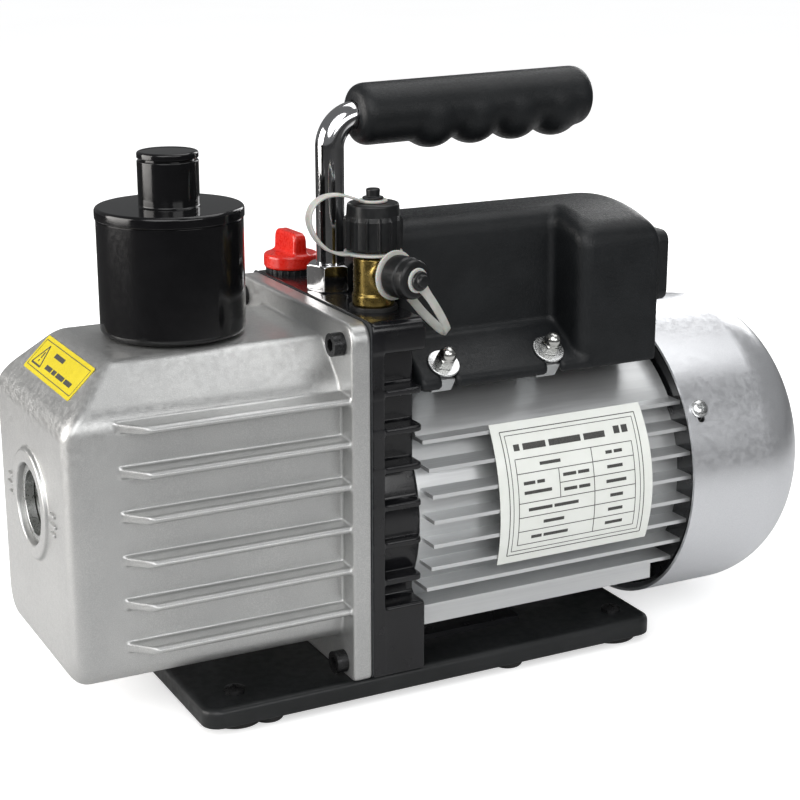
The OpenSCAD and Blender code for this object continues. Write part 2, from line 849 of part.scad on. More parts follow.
// Half section of the fan cover as (radius, distance from its open end).
module cover_section(shrink) {
    len = cover_back - cover_front - shrink;
    flat_r = cover_r - cover_round;
    corner = cover_round - shrink;
    intersection() {
        union() {
            translate([0, -shrink * 4]) square([cover_r - shrink, len - corner + shrink * 4]);
            translate([0, 0]) square([flat_r, len]);
            translate([flat_r, len - corner]) circle(corner, $fn = 128);
        }
        translate([0, -10]) square([cover_r + 1, len + 20]);
    }
}

module fan_cover() {
    color("#b4b8bc") in_frame() difference() {
        translate([cover_front, 0, shaft_z]) rotate([0, 90, 0])
            rotate_extrude($fn = 128) difference() {
                cover_section(0);
                cover_section(cover_t);
            }
        for (a = [0 : 15 : 345]) rotate_about_shaft(a) {
            translate([cover_back - 30, -1.6, shaft_z + 19]) cube([40, 3.2, 22]);
            bar_x(cover_back - 30, cover_back + 9, 0, shaft_z + 19, 1.6);
            bar_x(cover_back - 30, cover_back + 9, 0, shaft_z + 41, 1.6);
        }
        for (a = [0 : 45 : 315]) rotate_about_shaft(a)
            bar_x(cover_back - 9, cover_back + 9, 0, shaft_z + 9, 2.4);
        cover_screw_places() translate([0, 0, 70]) cylinder(r = 2.3, h = 8);
        for (s = [-1, 1], a = [1.8, 3.6]) on_ray(172, s * (screw_turn + a), 70)
            cylinder(r = 2, h = 8);
    }
}

module cover_screws() {
    color("#d2d4d5") in_frame() cover_screw_places() translate([0, 0, cover_r + 0.8]) {
        pan_screw(2, 3.7, 2.4, 13);
        difference() {
            translate([0, 0, -0.7]) cylinder(r = 4.4, h = 0.7);
            translate([0, 0, -1]) cylinder(r = 1.9, h = 2);
        }
    }
}

module rating_label() {
    color("#d9dcd6") in_frame() translate([61.5, 0, shaft_z]) rotate([0, 90, 0]) rotate([0, 0, 234])
        rotate_extrude(angle = 55, $fn = 128)
            translate([fin_r + 0.6, 0]) square([0.35, 81]);
}

// ---------- control box ----------

// Block from side y0 to side box_half_w, with rounded edges.
module box_block(x0, x1, y0, bottom, shrink) {
    rr = box_round - shrink;
    intersection() {
        hull() for (x = [x0 + box_round, x1 - box_round], y = [y0 + box_round, box_half_w - box_round])
            translate([x, y, bottom]) cylinder(r = rr, h = box_top - bottom, $fn = round_fn);
        bar_x(x0 - 1, x1 + 1, crown_y, box_top - crown_r, crown_r - shrink);
    }
}

module skirt_body(r, half_w, x0, x1) {
    intersection() {
        shaft_bar(x0, x1, r);
        translate([x0, -half_w, box_bottom - 2 * (skirt_r - r)]) cube([x1 - x0, 2 * half_w, 60]);
    }
}

// Open slot under each stud, down to the skirt's edge.
module skirt_slots() {
    for (x = stud_xs, s = [-1, 1]) on_ray(x, s * stud_turn, skirt_r - 9) {
        cylinder(r = 3, h = 20);
        translate([-3, s > 0 ? -30 : 0, 0]) cube([6, 30, 20]);
    }
}

module control_box() {
    color("#17191b") in_frame() difference() {
        union() {
            box_block(box_front, box_step_x + 12, -box_half_w, box_bottom, 0);
            box_block(box_step_x, box_back, -box_wide_half_w, box_bottom, 0);
            skirt_body(skirt_r, box_wide_half_w, box_front, box_back - 1);
        }
        box_block(box_front, box_step_x + 12, -box_half_w, box_bottom - 1, box_wall);
        box_block(box_step_x, box_back, -box_wide_half_w, box_bottom + 3, box_wall);
        skirt_body(skirt_r - skirt_t, box_wide_half_w - box_wall, box_front + box_wall,
                   box_back - 1 - box_wall);
        skirt_slots();
        translate([box_back - 5, rocker_y - 7.6, panel_z - 11]) cube([8, 15.2, 22]);
        translate([box_back - 5, inlet_y - 14, panel_z - 10.5]) cube([8, 28, 21]);
    }
}

module box_studs() {
    color("#b9bbbc") in_frame() {
        stud_holes(stud_r, stud_root, skirt_r + washer_t + 7);
    }
}

module box_washers() {
    color("#e3e4e4") in_frame() difference() {
        stud_holes(7.5, skirt_r + 0.02, skirt_r + washer_t);
        stud_holes(stud_r + fit_gap, skirt_r - 1, skirt_r + 3);
    }
}

module acorn_nut() {
    difference() {
        union() {
            intersection() {
                linear_extrude(4.6) hexagon(8);
                translate([0, 0, -4]) sphere(9.4);
            }
            translate([0, 0, 4]) cylinder(r = 3.5, h = 2.5);
            translate([0, 0, 6.5]) sphere(3.5);
        }
        translate([0, 0, -1]) cylinder(r = stud_r + run_gap, h = 8.1);
        translate([0, 0, -10]) cylinder(r = 12, h = 10);
    }
}

module acorn_nuts() {
    color("#cfd0cf") in_frame() for (x = stud_xs, s = [-1, 1])
        on_ray(x, s * stud_turn, skirt_r + washer_t) rotate([0, 0, 12]) acorn_nut();
}

module run_capacitor() {
    color("#d8dadb") in_frame() {
        bar_x(38, 100, 0, 168, 18);
        for (y = [-7, 7]) translate([100, y - 3, 164]) cube([7, 6, 0.8]);
    }
}

module switch_panel() {
    color("#141517") in_frame() difference() {
        along_x(box_back + 0.05, box_back + panel_t) round_rect(-55.5, panel_z - 16.5, 31.5,
            panel_z + 16.5, 4);
        translate([box_back - 1, rocker_y - 7.6, panel_z - 11]) cube([9, 15.2, 22]);
        translate([box_back - 1, inlet_y - 14, panel_z - 10.5]) cube([9, 28, 21]);
    }
}

// Rocker that tips about a pin along Y; it rests in its off position.
module rocker_switch() {
    pivot_x = box_back + 3.5;
    color("#a31916") in_frame() translate([pivot_x, rocker_y, panel_z]) rotate([0, -rocker_tilt, 0])
        rotate([90, 0, 0]) {
            linear_extrude(14.4, center = true)
                polygon([[-3, -6], [-3, 6], [3.5, 10], [6, 9.6], [4.4, 0], [6, -9.6], [3.5, -10]]);
            cylinder(r = 3.4, h = 14.4, center = true);
        }
}

module power_inlet() {
    x1 = box_back + panel_t + 1.2;
    color("#101112") in_frame() translate([0, inlet_y, panel_z]) {
        difference() {
            union() {
                along_x(box_back - 16, x1) translate([-13.9, -10.4]) square([27.8, 20.8]);
                along_x(box_back + panel_t + 0.05, x1) round_rect(-17, -12.5, 17, 12.5, 3);
            }
            along_x(box_back - 12, x1 + 1) polygon([[-12, -8], [12, -8], [12, 4], [8.5, 8],
                [-8.5, 8], [-12, 4]]);
        }
        for (p = [[-7, 0], [7, 0], [0, 4]]) translate([box_back - 13, p.x - 0.8, p.y - 3])
            cube([12, 1.6, 5]);
    }
}

// ---------- handle ----------

// The bent rod; r is its radius.
// Tilts the bend and what follows it, about the bend's centre.
module past_bend() {
    translate([fitting_x + bend_r, rod_y, grip_z - bend_r]) rotate([0, -grip_rise, 0])
        translate([-fitting_x - bend_r, -rod_y, bend_r - grip_z]) children();
}

// The upright is a hair thicker than the rest, so that the tilted bend ends inside it.
module rod_path(r, foot_z, end_x) {
    top = grip_z - bend_r;
    translate([fitting_x, rod_y, foot_z]) cylinder(r = r + 0.02, h = top - foot_z);
    past_bend() {
        translate([fitting_x + bend_r, rod_y, top]) rotate([90, 0, 0]) rotate([0, 0, 90])
            rotate_extrude(angle = 90) translate([bend_r, 0]) circle(r);
        translate([fitting_x + bend_r, rod_y, grip_z]) rotate([0, 90, 0])
            cylinder(r = r, h = end_x - fitting_x - bend_r);
    }
}

module handle_rod() {
    color("#d9dbdc") in_frame() rod_path(rod_r, flange_top - 17, grip_back - 12);
}

module handle_nut() {
    color("#d4d5d6") in_frame() translate([fitting_x, rod_y, flange_top]) rotate([0, 0, 49])
        difference() {
            intersection() {
                linear_extrude(nut_h) hexagon(nut_af);
                translate([0, 0, nut_h - 12.4]) sphere(15.8);
            }
            translate([0, 0, -1]) cylinder(r = rod_r + run_gap, h = nut_h + 2);
        }
}

module handle_grip() {
    lumps = 4;
    first_lump = 64.5;
    lump_pitch = 22;
    lump_r = 14.6;
    color("#15171a") in_frame() difference() {
        past_bend() {
            translate([grip_front, rod_y, grip_z]) rotate([0, 90, 0]) rotate_extrude() {
                translate([0, 0]) square([grip_r - 4, grip_back - grip_front]);
                translate([0, 4]) square([grip_r, grip_back - grip_front - 8]);
                translate([grip_r - 4, 4]) circle(4);
                translate([grip_r - 4, grip_back - grip_front - 4]) circle(4);
            }
            for (i = [0 : lumps - 1])
                translate([first_lump + i * lump_pitch, rod_y, grip_z - 3.2]) sphere(lump_r);
        }
        rod_path(rod_r + 0.02, grip_z - 60, grip_back - 11);
    }
}

// ---------- inlet tee ----------

module side_axis() {
    translate([fitting_x, tee_y, port_z]) rotate([0, 0, port_turn]) rotate([90, 0, 0]) children();
}

module inlet_tee() {
    color("#a8853c") in_frame() difference() {
        union() {
            bar_z(fitting_x, tee_y, flange_top - 10, flange_top + 2, 6.5);
            bar_z(fitting_x, tee_y, flange_top + 2, flange_top + 8.5, 9.2);
            bar_z(fitting_x, tee_y, flange_top + 8, tee_top - 2.6, 8.8);
            bar_z(fitting_x, tee_y, tee_top - 3, tee_top + 14, 7);
            side_axis() cylinder(r = 6.8, h = 13);
            side_axis() cylinder(r = 5.5, h = 24);
        }
        bar_z(fitting_x, tee_y, flange_top - 11, tee_top + 15, 4);
        side_axis() cylinder(r = 3.2, h = 25);
    }
}

module tee_seal() {
    color("#131313") in_frame() difference() {
        bar_z(fitting_x, tee_y, flange_top, flange_top + 2, 10.6);
        bar_z(fitting_x, tee_y, flange_top - 1, flange_top + 3, 6.5 + run_gap);
    }
}

module top_cap() {
    flutes = 12;
    top = 223;
    color("#131415") in_frame() translate([fitting_x, tee_y, 0]) {
        difference() {
            union() {
                translate([0, 0, cap_bottom]) cylinder(r = 12, h = 13.5);
                for (i = [0 : flutes - 1]) rotate([0, 0, i * 360 / flutes])
                    translate([11.4, 0, cap_bottom]) cylinder(r = 1.4, h = 13);
                translate([0, 0, cap_bottom + 13]) cylinder(r = 10.9, h = top - cap_bottom - 14);
                translate([0, 0, top - 1.5]) cylinder(r = 9.8, h = 1.5);
            }
            translate([0, 0, cap_bottom - 1]) cylinder(r = 7 + fit_gap, h = 15);
        }
        translate([0, 0, top]) cylinder(r = 2, h = 3);
        translate([0, 0, top + 1.4]) cylinder(r = 4.6, h = 0.8);
        translate([0, 0, top + 2]) cylinder(r = 3, h = 4);
    }
}

module side_cap() {
    color("#17181a") in_frame() side_axis() {
        difference() {
            union() {
                translate([0, 0, 15]) cylinder(r = 9.2, h = 8);
                translate([0, 0, 22]) cylinder(r = 8.6, h = 5.5);
            }
            translate([0, 0, 14]) cylinder(r = 5.5 + fit_gap, h = 11);
        }
        translate([0, 0, 27]) cylinder(r = 2, h = 3);
        translate([0, 0, 29.2]) cylinder(r = 3.2, h = 3.6);
    }
}

// Flat ring and a short tongue of the strap that keeps a cap.
module strap_ring(inner, outer, t) {
    difference() {
        cylinder(r = outer, h = t);
        translate([0, 0, -1]) cylinder(r = inner, h = t + 2);
    }
}

module top_strap() {
    color("#d9d9d0") in_frame() {
        translate([fitting_x, tee_y, tee_top - 1.4]) strap_ring(7.1, 12.6, 1.2);
        translate([fitting_x - 17, tee_y - 3, tee_top - 1.4]) cube([6, 6, 1.2]);
    }
}

module side_strap() {
    color("#d9d9d0") in_frame() side_axis() {
        translate([0, 0, 13.2]) strap_ring(6, 10.8, 1.4);
        translate([-3, -15, 13.2]) cube([6, 5, 1.4]);
    }
}

// ---------- gas ballast ----------

module ballast_valve() {
    color("#121314") in_frame() translate([fitting_x, ballast_y, 0]) difference() {
        union() {
            translate([0, 0, flange_top - 12]) cylinder(r = 4.9, h = 13);
            translate([0, 0, flange_top]) cylinder(r = 11.6, h = 2.2);
            for (i = [0 : 23]) rotate([0, 0, i * 15])
                translate([11.6, 0, flange_top]) cylinder(r = 0.5, h = 2.2);
        }
        translate([0, 0, flange_top - 13]) cylinder(r = 2.5, h = 20);
    }
}

module ballast_knob() {
    base = flange_top + 2.3;
    color("#d8201a") in_frame() translate([fitting_x, ballast_y, 0]) {
        translate([0, 0, flange_top - 8]) cylinder(r = 2.4, h = 14);
        rotate_extrude() {
            translate([0, base]) square([12.9, 5]);
            translate([0, base + 5]) square([10.9, 2]);
            translate([10.9, base + 5]) circle(2);
        }
        translate([0, 0, base + 5]) rotate([0, 0, 92])
            linear_extrude(12.3) round_rect(-11, -3.7, 11, 3.7, 2);
    }
}

base_plate();
rubber_feet();
foot_screws();
base_screws();
support_casting();
oil_casing();
casing_gasket();
casing_screws();
sight_glass();
sight_glass_ring();
warning_label();
drain_plug();
drain_seal();
filter_housing();
filter_lid();
filter_element();
filter_seal();
outlet_cap();
pump_cylinder();
pump_end_cover();
pump_screws();
pump_rotor();
vanes();
vane_springs();
exhaust_reed();
reed_stop();
shaft_seal();
drive_shaft();
front_bearing();
rear_bearing();
motor_housing();
motor_cradle();
stator_core();
stator_windings();
motor_rotor();
end_shield();
cooling_fan();
fan_cover();
cover_screws();
rating_label();
control_box();
box_studs();
box_washers();
acorn_nuts();
run_capacitor();
switch_panel();
rocker_switch();
power_inlet();
handle_rod();
handle_nut();
handle_grip();
inlet_tee();
tee_seal();
top_cap();
side_cap();
top_strap();
side_strap();
ballast_valve();
ballast_knob();
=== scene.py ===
"""Looks of the rotary vane vacuum pump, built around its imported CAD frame.

Lengths in this script are millimetres and are turned into metres when a mesh is made. Positions along
the shaft are counted from the joint between the casing gasket and the support casting, as in the CAD.
"""

import json
import math

import bmesh
import bpy
import numpy as np
from mathutils import Matrix, Vector


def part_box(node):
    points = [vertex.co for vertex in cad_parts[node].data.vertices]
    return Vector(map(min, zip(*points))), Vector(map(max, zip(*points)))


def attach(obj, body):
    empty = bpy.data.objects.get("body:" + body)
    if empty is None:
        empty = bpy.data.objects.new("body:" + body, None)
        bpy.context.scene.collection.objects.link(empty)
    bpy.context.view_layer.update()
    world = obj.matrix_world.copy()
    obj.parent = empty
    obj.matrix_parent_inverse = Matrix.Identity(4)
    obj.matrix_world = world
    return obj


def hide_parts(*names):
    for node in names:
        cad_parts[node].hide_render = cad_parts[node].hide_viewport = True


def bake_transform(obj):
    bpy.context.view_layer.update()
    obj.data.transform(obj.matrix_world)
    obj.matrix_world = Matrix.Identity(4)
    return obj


MM = 0.001
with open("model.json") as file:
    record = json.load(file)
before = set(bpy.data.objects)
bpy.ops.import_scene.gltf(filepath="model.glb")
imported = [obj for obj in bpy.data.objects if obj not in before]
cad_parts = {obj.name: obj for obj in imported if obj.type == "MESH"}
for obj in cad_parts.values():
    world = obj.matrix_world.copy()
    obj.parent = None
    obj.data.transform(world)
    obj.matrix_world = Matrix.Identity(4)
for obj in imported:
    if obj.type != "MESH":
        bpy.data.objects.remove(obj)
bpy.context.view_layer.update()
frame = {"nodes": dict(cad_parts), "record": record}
COARSE = 1.0
JOINT_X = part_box("casing_gasket")[1][0] / MM


def span(node):
    """Lowest and highest corner of a CAD node in millimetres, from the gasket joint and the floor."""
    return [np.array(corner) / MM - np.array([JOINT_X, 0, 0]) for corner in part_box(node)]


# ---------- sizes read from the frame ----------

casing_low, casing_high = span("oil_casing")
support_high = span("support_casting")[1]
box_low, box_high = span("control_box")
plate_low, plate_high = span("base_plate")
canister_low, canister_high = span("filter_housing")
knob_low, knob_high = span("ballast_knob")
rod_low, rod_high = span("handle_rod")
shaft_low, shaft_high = span("drive_shaft")
panel_low, panel_high = span("switch_panel")
NUT_TOP = span("handle_nut")[1][2]
NECK_TOP = span("filter_lid")[1][2]
OUTLET_TOP = span("outlet_cap")[1][2]

SHAFT_Z = (shaft_low[2] + shaft_high[2]) / 2
FLANGE_HALF, FLANGE_TOP, FLANGE_BOTTOM = casing_high[1], casing_high[2], casing_low[2]
ROD_R = float(rod_high[1] - rod_low[1]) / 2
ROD_Y = float(rod_low[1] + rod_high[1]) / 2
FILTER_X = (canister_low[0] + canister_high[0]) / 2
FILTER_R = (canister_high[0] - canister_low[0]) / 2

# ---------- sizes that follow the CAD source ----------

GASKET, FLANGE_T, BOSS_PROUD = 0.5, 9.0, 2.0
TANK_FRONT = casing_low[0] + BOSS_PROUD
TANK_HALF, TANK_BOTTOM, TANK_TOP, TANK_WALL = 52.0, 29.2, 166.0, 4.5
FACE_TOP, LABEL_BACK = 143.0, -109.0
ROOF_HALF, SHOULDER_LOW = 33.0, 145.0
GLASS_Z = 98.0
RIB_TOP, RIB_PITCH, RIBS = 142.7, 19.28, 6
DRAIN_X = -112.0
FITTING_X = 14.0
TEE_Y, PORT_Z, PORT_TURN = -36.7, 193.0, math.radians(15)
STUD_XS, STUD_TURN, SKIRT_R = (41.0, 95.3), math.radians(36), 87.5

# ---------- distance fields ----------


def smax(a, b, k):
    """Larger of two distances, with the edge between them rounded over about k."""
    h = np.clip(0.5 - 0.5 * (b - a) / k, 0.0, 1.0)
    return b + (a - b) * h + k * h * (1 - h)


def smin(a, b, k):
    """Smaller of two distances, with the corner between them filled over about k."""
    return -smax(-a, -b, k)


def slab(value, low, high):
    return np.maximum(low - value, value - high)


def ring(a, b, radius):
    return np.hypot(a, b) - radius


def gradient(field, points, gap=0.03):
    out = np.empty_like(points)
    for axis in range(3):
        step = np.zeros(3)
        step[axis] = gap
        out[:, axis] = field(*(points + step).T) - field(*(points - step).T)
    return out / (2 * gap)


def net(field, low, high, step):
    """Points and four-sided faces of the surface where the field is zero, on a regular grid."""
    axes = [np.arange(a, b + step, step) for a, b in zip(low, high)]
    shape = tuple(len(a) for a in axes)
    values = np.empty(shape)
    for i in range(0, shape[0], 8):
        part = np.meshgrid(axes[0][i:i + 8], axes[1], axes[2], indexing="ij")
        values[i:i + 8] = field(*(c.ravel() for c in part)).reshape(part[0].shape)
    inside = values < 0
    cells = tuple(n - 1 for n in shape)
    total, count = np.zeros(cells + (3,)), np.zeros(cells)
    crossings = []
    for d in range(3):
        e, f = (d + 1) % 3, (d + 2) % 3
        first, second = [slice(None)] * 3, [slice(None)] * 3
        first[d], second[d] = slice(0, -1), slice(1, None)
        first, second = tuple(first), tuple(second)
        cross = inside[first] != inside[second]
        crossings.append(cross)
        gap = np.where(cross, values[first] - values[second], 1.0)
        along = np.where(cross, values[first] / gap, 0.0)
        for a in (0, 1):
            for b in (0, 1):
                part = [slice(None)] * 3
                part[e], part[f] = slice(a, shape[e] - 1 + a), slice(b, shape[f] - 1 + b)
                hit = cross[tuple(part)]
                total[..., d] += along[tuple(part)]
                total[..., e] += a * hit
                total[..., f] += b * hit
                count += hit
    active = count > 0
    index = np.full(cells, -1)
    index[active] = np.arange(active.sum())
    points = np.argwhere(active) + total[active] / count[active][:, None]
    points = points * step + np.array([a[0] for a in axes])
    faces = []
    for d in range(3):
        e, f = (d + 1) % 3, (d + 2) % 3
        at = np.argwhere(crossings[d])
        at = at[(at[:, e] > 0) & (at[:, e] < cells[e]) & (at[:, f] > 0) & (at[:, f] < cells[f])]
        corner = []
        for de, df in ((-1, -1), (0, -1), (0, 0), (-1, 0)):
            c = at.copy()
            c[:, e] += de
            c[:, f] += df
            corner.append(index[tuple(c.T)])
        quads = np.stack(corner, 1)
        flip = ~inside[tuple(at.T)]
        quads[flip] = quads[flip][:, ::-1]
        faces.append(quads)
    return points, np.concatenate(faces)


def surface(field, low, high, step):
    """Mesh of the zero surface, with its points moved onto the field."""
    points, faces = net(field, low, high, step)
    for _ in range(3):
        g = gradient(field, points)
        size = np.maximum((g * g).sum(1), 0.2)
        move = (field(*points.T) / size)[:, None] * g
        far = np.maximum(np.linalg.norm(move, axis=1) / (0.6 * step), 1.0)
        points = points - move / far[:, None]
    return points, faces


def stands_for(node):
    """Body, look, slot and replaced nodes of a piece that is shown in place of a CAD node."""
    return BODY_OF[node], LOOKS[SLOT_OF[node]], SLOT_OF[node], (node,)


def printed(look, slot):
    """The same for a piece of the pump body that no CAD node stands for."""
    return "pump_body", look, slot, ()


def new_object(name, mesh, body, look, slot, replaced):
    obj = bpy.data.objects.new(name, mesh)
    bpy.context.scene.collection.objects.link(obj)
    mesh.materials.clear()
    mesh.materials.append(look)
    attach(obj, body)
    if replaced:
        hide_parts(*replaced)
    return obj


def to_frame(points):
    return (np.asarray(points, float) + np.array([JOINT_X, 0, 0])) * MM


def field_piece(name, field, node, margin, step):
    """A solid whose surface is where the field is zero, shown in place of a CAD node."""
    low, high = span(node)
    points, faces = surface(field, low - margin, high + margin, step * COARSE)
    bm = bmesh.new()
    mesh = bpy.data.meshes.new(name)
    mesh.from_pydata(to_frame(points).tolist(), [], faces.tolist())
    bm.from_mesh(mesh)
    bmesh.ops.dissolve_limit(bm, angle_limit=math.radians(0.5), verts=bm.verts, edges=bm.edges)
    bm.to_mesh(mesh)
    bm.free()
    kept = np.empty(len(mesh.vertices) * 3)
    mesh.vertices.foreach_get("co", kept)
    kept = kept.reshape(-1, 3) / MM - np.array([JOINT_X, 0, 0])
    normals = gradient(field, kept, 0.15)
    normals /= np.maximum(np.linalg.norm(normals, axis=1), 1e-9)[:, None]
    mesh.shade_smooth()
    mesh.normals_split_custom_set_from_vertices(normals.tolist())
    return new_object(name, mesh, *stands_for(node))


# ---------- turned, cut and swept pieces ----------


def rounded(corners, steps=5):
    """Outline with each corner (a, b, radius) replaced by an arc of that radius."""
    out = []
    count = len(corners)
    for i, corner in enumerate(corners):
        here = np.array(corner[:2], float)
        radius = corner[2] if len(corner) > 2 else 0.0
        if radius <= 0:
            out.append(here)
            continue
        before = np.array(corners[i - 1][:2], float) - here
        after = np.array(corners[(i + 1) % count][:2], float) - here
        before /= np.linalg.norm(before)
        after /= np.linalg.norm(after)
        half = math.acos(float(np.clip(before @ after, -1, 1))) / 2
        reach = radius / math.tan(half)
        middle = (before + after) / np.linalg.norm(before + after)
        centre = here + middle * radius / math.sin(half)
        a, b = here + before * reach - centre, here + after * reach - centre
        sweep = math.pi - 2 * half
        for t in np.linspace(0, 1, steps + 1):
            p = (a * math.sin((1 - t) * sweep) + b * math.sin(t * sweep)) / math.sin(sweep)
            out.append(centre + p)
    return np.array(out)


def place(x, y, z):
    """Matrix that moves a piece made about the Z axis to a point."""
    return Matrix.Translation((x, y, z))


HERE = Matrix.Identity(4)
ALONG_X = Matrix.Rotation(math.radians(90), 4, "Y")


def make_mesh(name, bm, at, sharp):
    """Turns the bmesh, in millimetres, into a mesh in the frame with sharp edges above an angle."""
    bmesh.ops.recalc_face_normals(bm, faces=bm.faces)
    bm.transform(Matrix.Scale(MM, 4) @ Matrix.Translation((JOINT_X, 0, 0)) @ at)
    mesh = bpy.data.meshes.new(name)
    bm.to_mesh(mesh)
    bm.free()
    mesh.shade_smooth()
    mesh.set_sharp_from_angle(angle=math.radians(sharp))
    return mesh


def finish_mesh(name, bm, dress, at=HERE, sharp=40):
    bmesh.ops.remove_doubles(bm, verts=bm.verts, dist=1e-4)
    bmesh.ops.dissolve_degenerate(bm, edges=bm.edges, dist=1e-5)
    obj = new_object(name, make_mesh(name, bm, at, sharp), *dress)
    weight = obj.modifiers.new("even_normals", "WEIGHTED_NORMAL")
    weight.keep_sharp = True
    return obj


def add_lathe(bm, outline, segments=96, shape=None, at=HERE):
    """Adds the closed outline of (radius, height) points, turned about Z; shape scales the radius."""
    rings = []
    for i in range(segments):
        angle = 2 * math.pi * i / segments
        row = []
        for r, h in outline:
            wide = r * (shape(angle, r, h) if shape else 1.0)
            row.append(bm.verts.new(at @ Vector((wide * math.cos(angle), wide * math.sin(angle), h))))
        rings.append(row)
    for a, b in zip(rings, rings[1:] + rings[:1]):
        for j in range(len(outline)):
            k = (j + 1) % len(outline)
            if outline[j][0] > 1e-6 or outline[k][0] > 1e-6:
                bm.faces.new((a[j], b[j], b[k], a[k]))


def lathe(name, corners, at, node, segments=96, shape=None):
    bm = bmesh.new()
    add_lathe(bm, rounded(corners, 4), segments, shape)
    return finish_mesh(name, bm, stands_for(node), at)


def cut_sheet(name, outlines, low, high, bevel, at, node):
    """A plate between two heights with the given closed outlines (holes too) and rounded rims."""
    curve = bpy.data.curves.new(name, "CURVE")
    curve.dimensions = "2D"
    curve.fill_mode = "BOTH"
    curve.extrude = (high - low) / 2 - bevel
    curve.bevel_depth = bevel
    curve.bevel_resolution = 3
    curve.offset = -bevel
    for outline in outlines:
        spline = curve.splines.new("POLY")
        spline.points.add(len(outline) - 1)
        for point, (a, b) in zip(spline.points, outline):
            point.co = (a, b, 0, 1)
        spline.use_cyclic_u = True
    holder = bpy.data.objects.new(name + "_outline", curve)
    bpy.context.scene.collection.objects.link(holder)
    bpy.context.view_layer.update()
    graph = bpy.context.evaluated_depsgraph_get()
    made = bpy.data.meshes.new_from_object(holder.evaluated_get(graph))
    bpy.data.objects.remove(holder)
    bm = bmesh.new()
    bm.from_mesh(made)
    bm.transform(place(0, 0, (low + high) / 2))
    return finish_mesh(name, bm, stands_for(node), at)


def skin(bm, rings):
    """Joins rings of points, all of one length, with four-sided faces and closes both ends."""
    rows = [[bm.verts.new(p) for p in ring] for ring in rings]
    for a, b in zip(rows, rows[1:]):
        for j in range(len(a)):
            k = (j + 1) % len(a)
            bm.faces.new((a[j], a[k], b[k], b[j]))
    bm.faces.new(rows[0][::-1])
    bm.faces.new(rows[-1])


def add_ribbon(bm, centres, side, normals, widths, thick):
    """Adds a flat band along points; side is its width direction and normals face away from it."""
    rings = []
    edge = thick * 0.35
    for c, n, w in zip(centres, normals, widths):
        loop = ((-w / 2 + edge, -thick / 2), (w / 2 - edge, -thick / 2), (w / 2, 0),
                (w / 2 - edge, thick / 2), (-w / 2 + edge, thick / 2), (-w / 2, 0))
        rings.append([c + side * a + n * b for a, b in loop])
    skin(bm, rings)


def spline_points(knots, count):
    """Smooth path through the knots (Catmull-Rom)."""
    knots = np.array(knots, float)
    padded = np.vstack([2 * knots[0] - knots[1], knots, 2 * knots[-1] - knots[-2]])
    out = []
    for t in np.linspace(0, len(knots) - 1 - 1e-9, count):
        i = int(t)
        u = t - i
        p0, p1, p2, p3 = padded[i:i + 4]
        out.append(0.5 * (2 * p1 + (p2 - p0) * u + (2 * p0 - 5 * p1 + 4 * p2 - p3) * u * u
                          + (3 * p1 - p0 - 3 * p2 + p3) * u ** 3))
    return np.array(out)


# ---------- materials ----------


def noise(size, stretch=(1, 1, 1), detail=3.0):
    """Cloudy pattern with features of this size in millimetres."""
    return "ShaderNodeTexNoise", stretch, {"Scale": 1 / (size * MM), "Detail": detail, "Roughness": 0.55}


def grains(size):
    """Cells of this size in millimetres, dark at their centres."""
    return "ShaderNodeTexVoronoi", (1, 1, 1), {"Scale": 1 / (size * MM)}


def bands(axis, pitch):
    """Wave along an axis of the frame with this pitch in millimetres."""
    return axis, (1, 1, 1), {"Scale": 2 * math.pi / (20 * pitch * MM)}


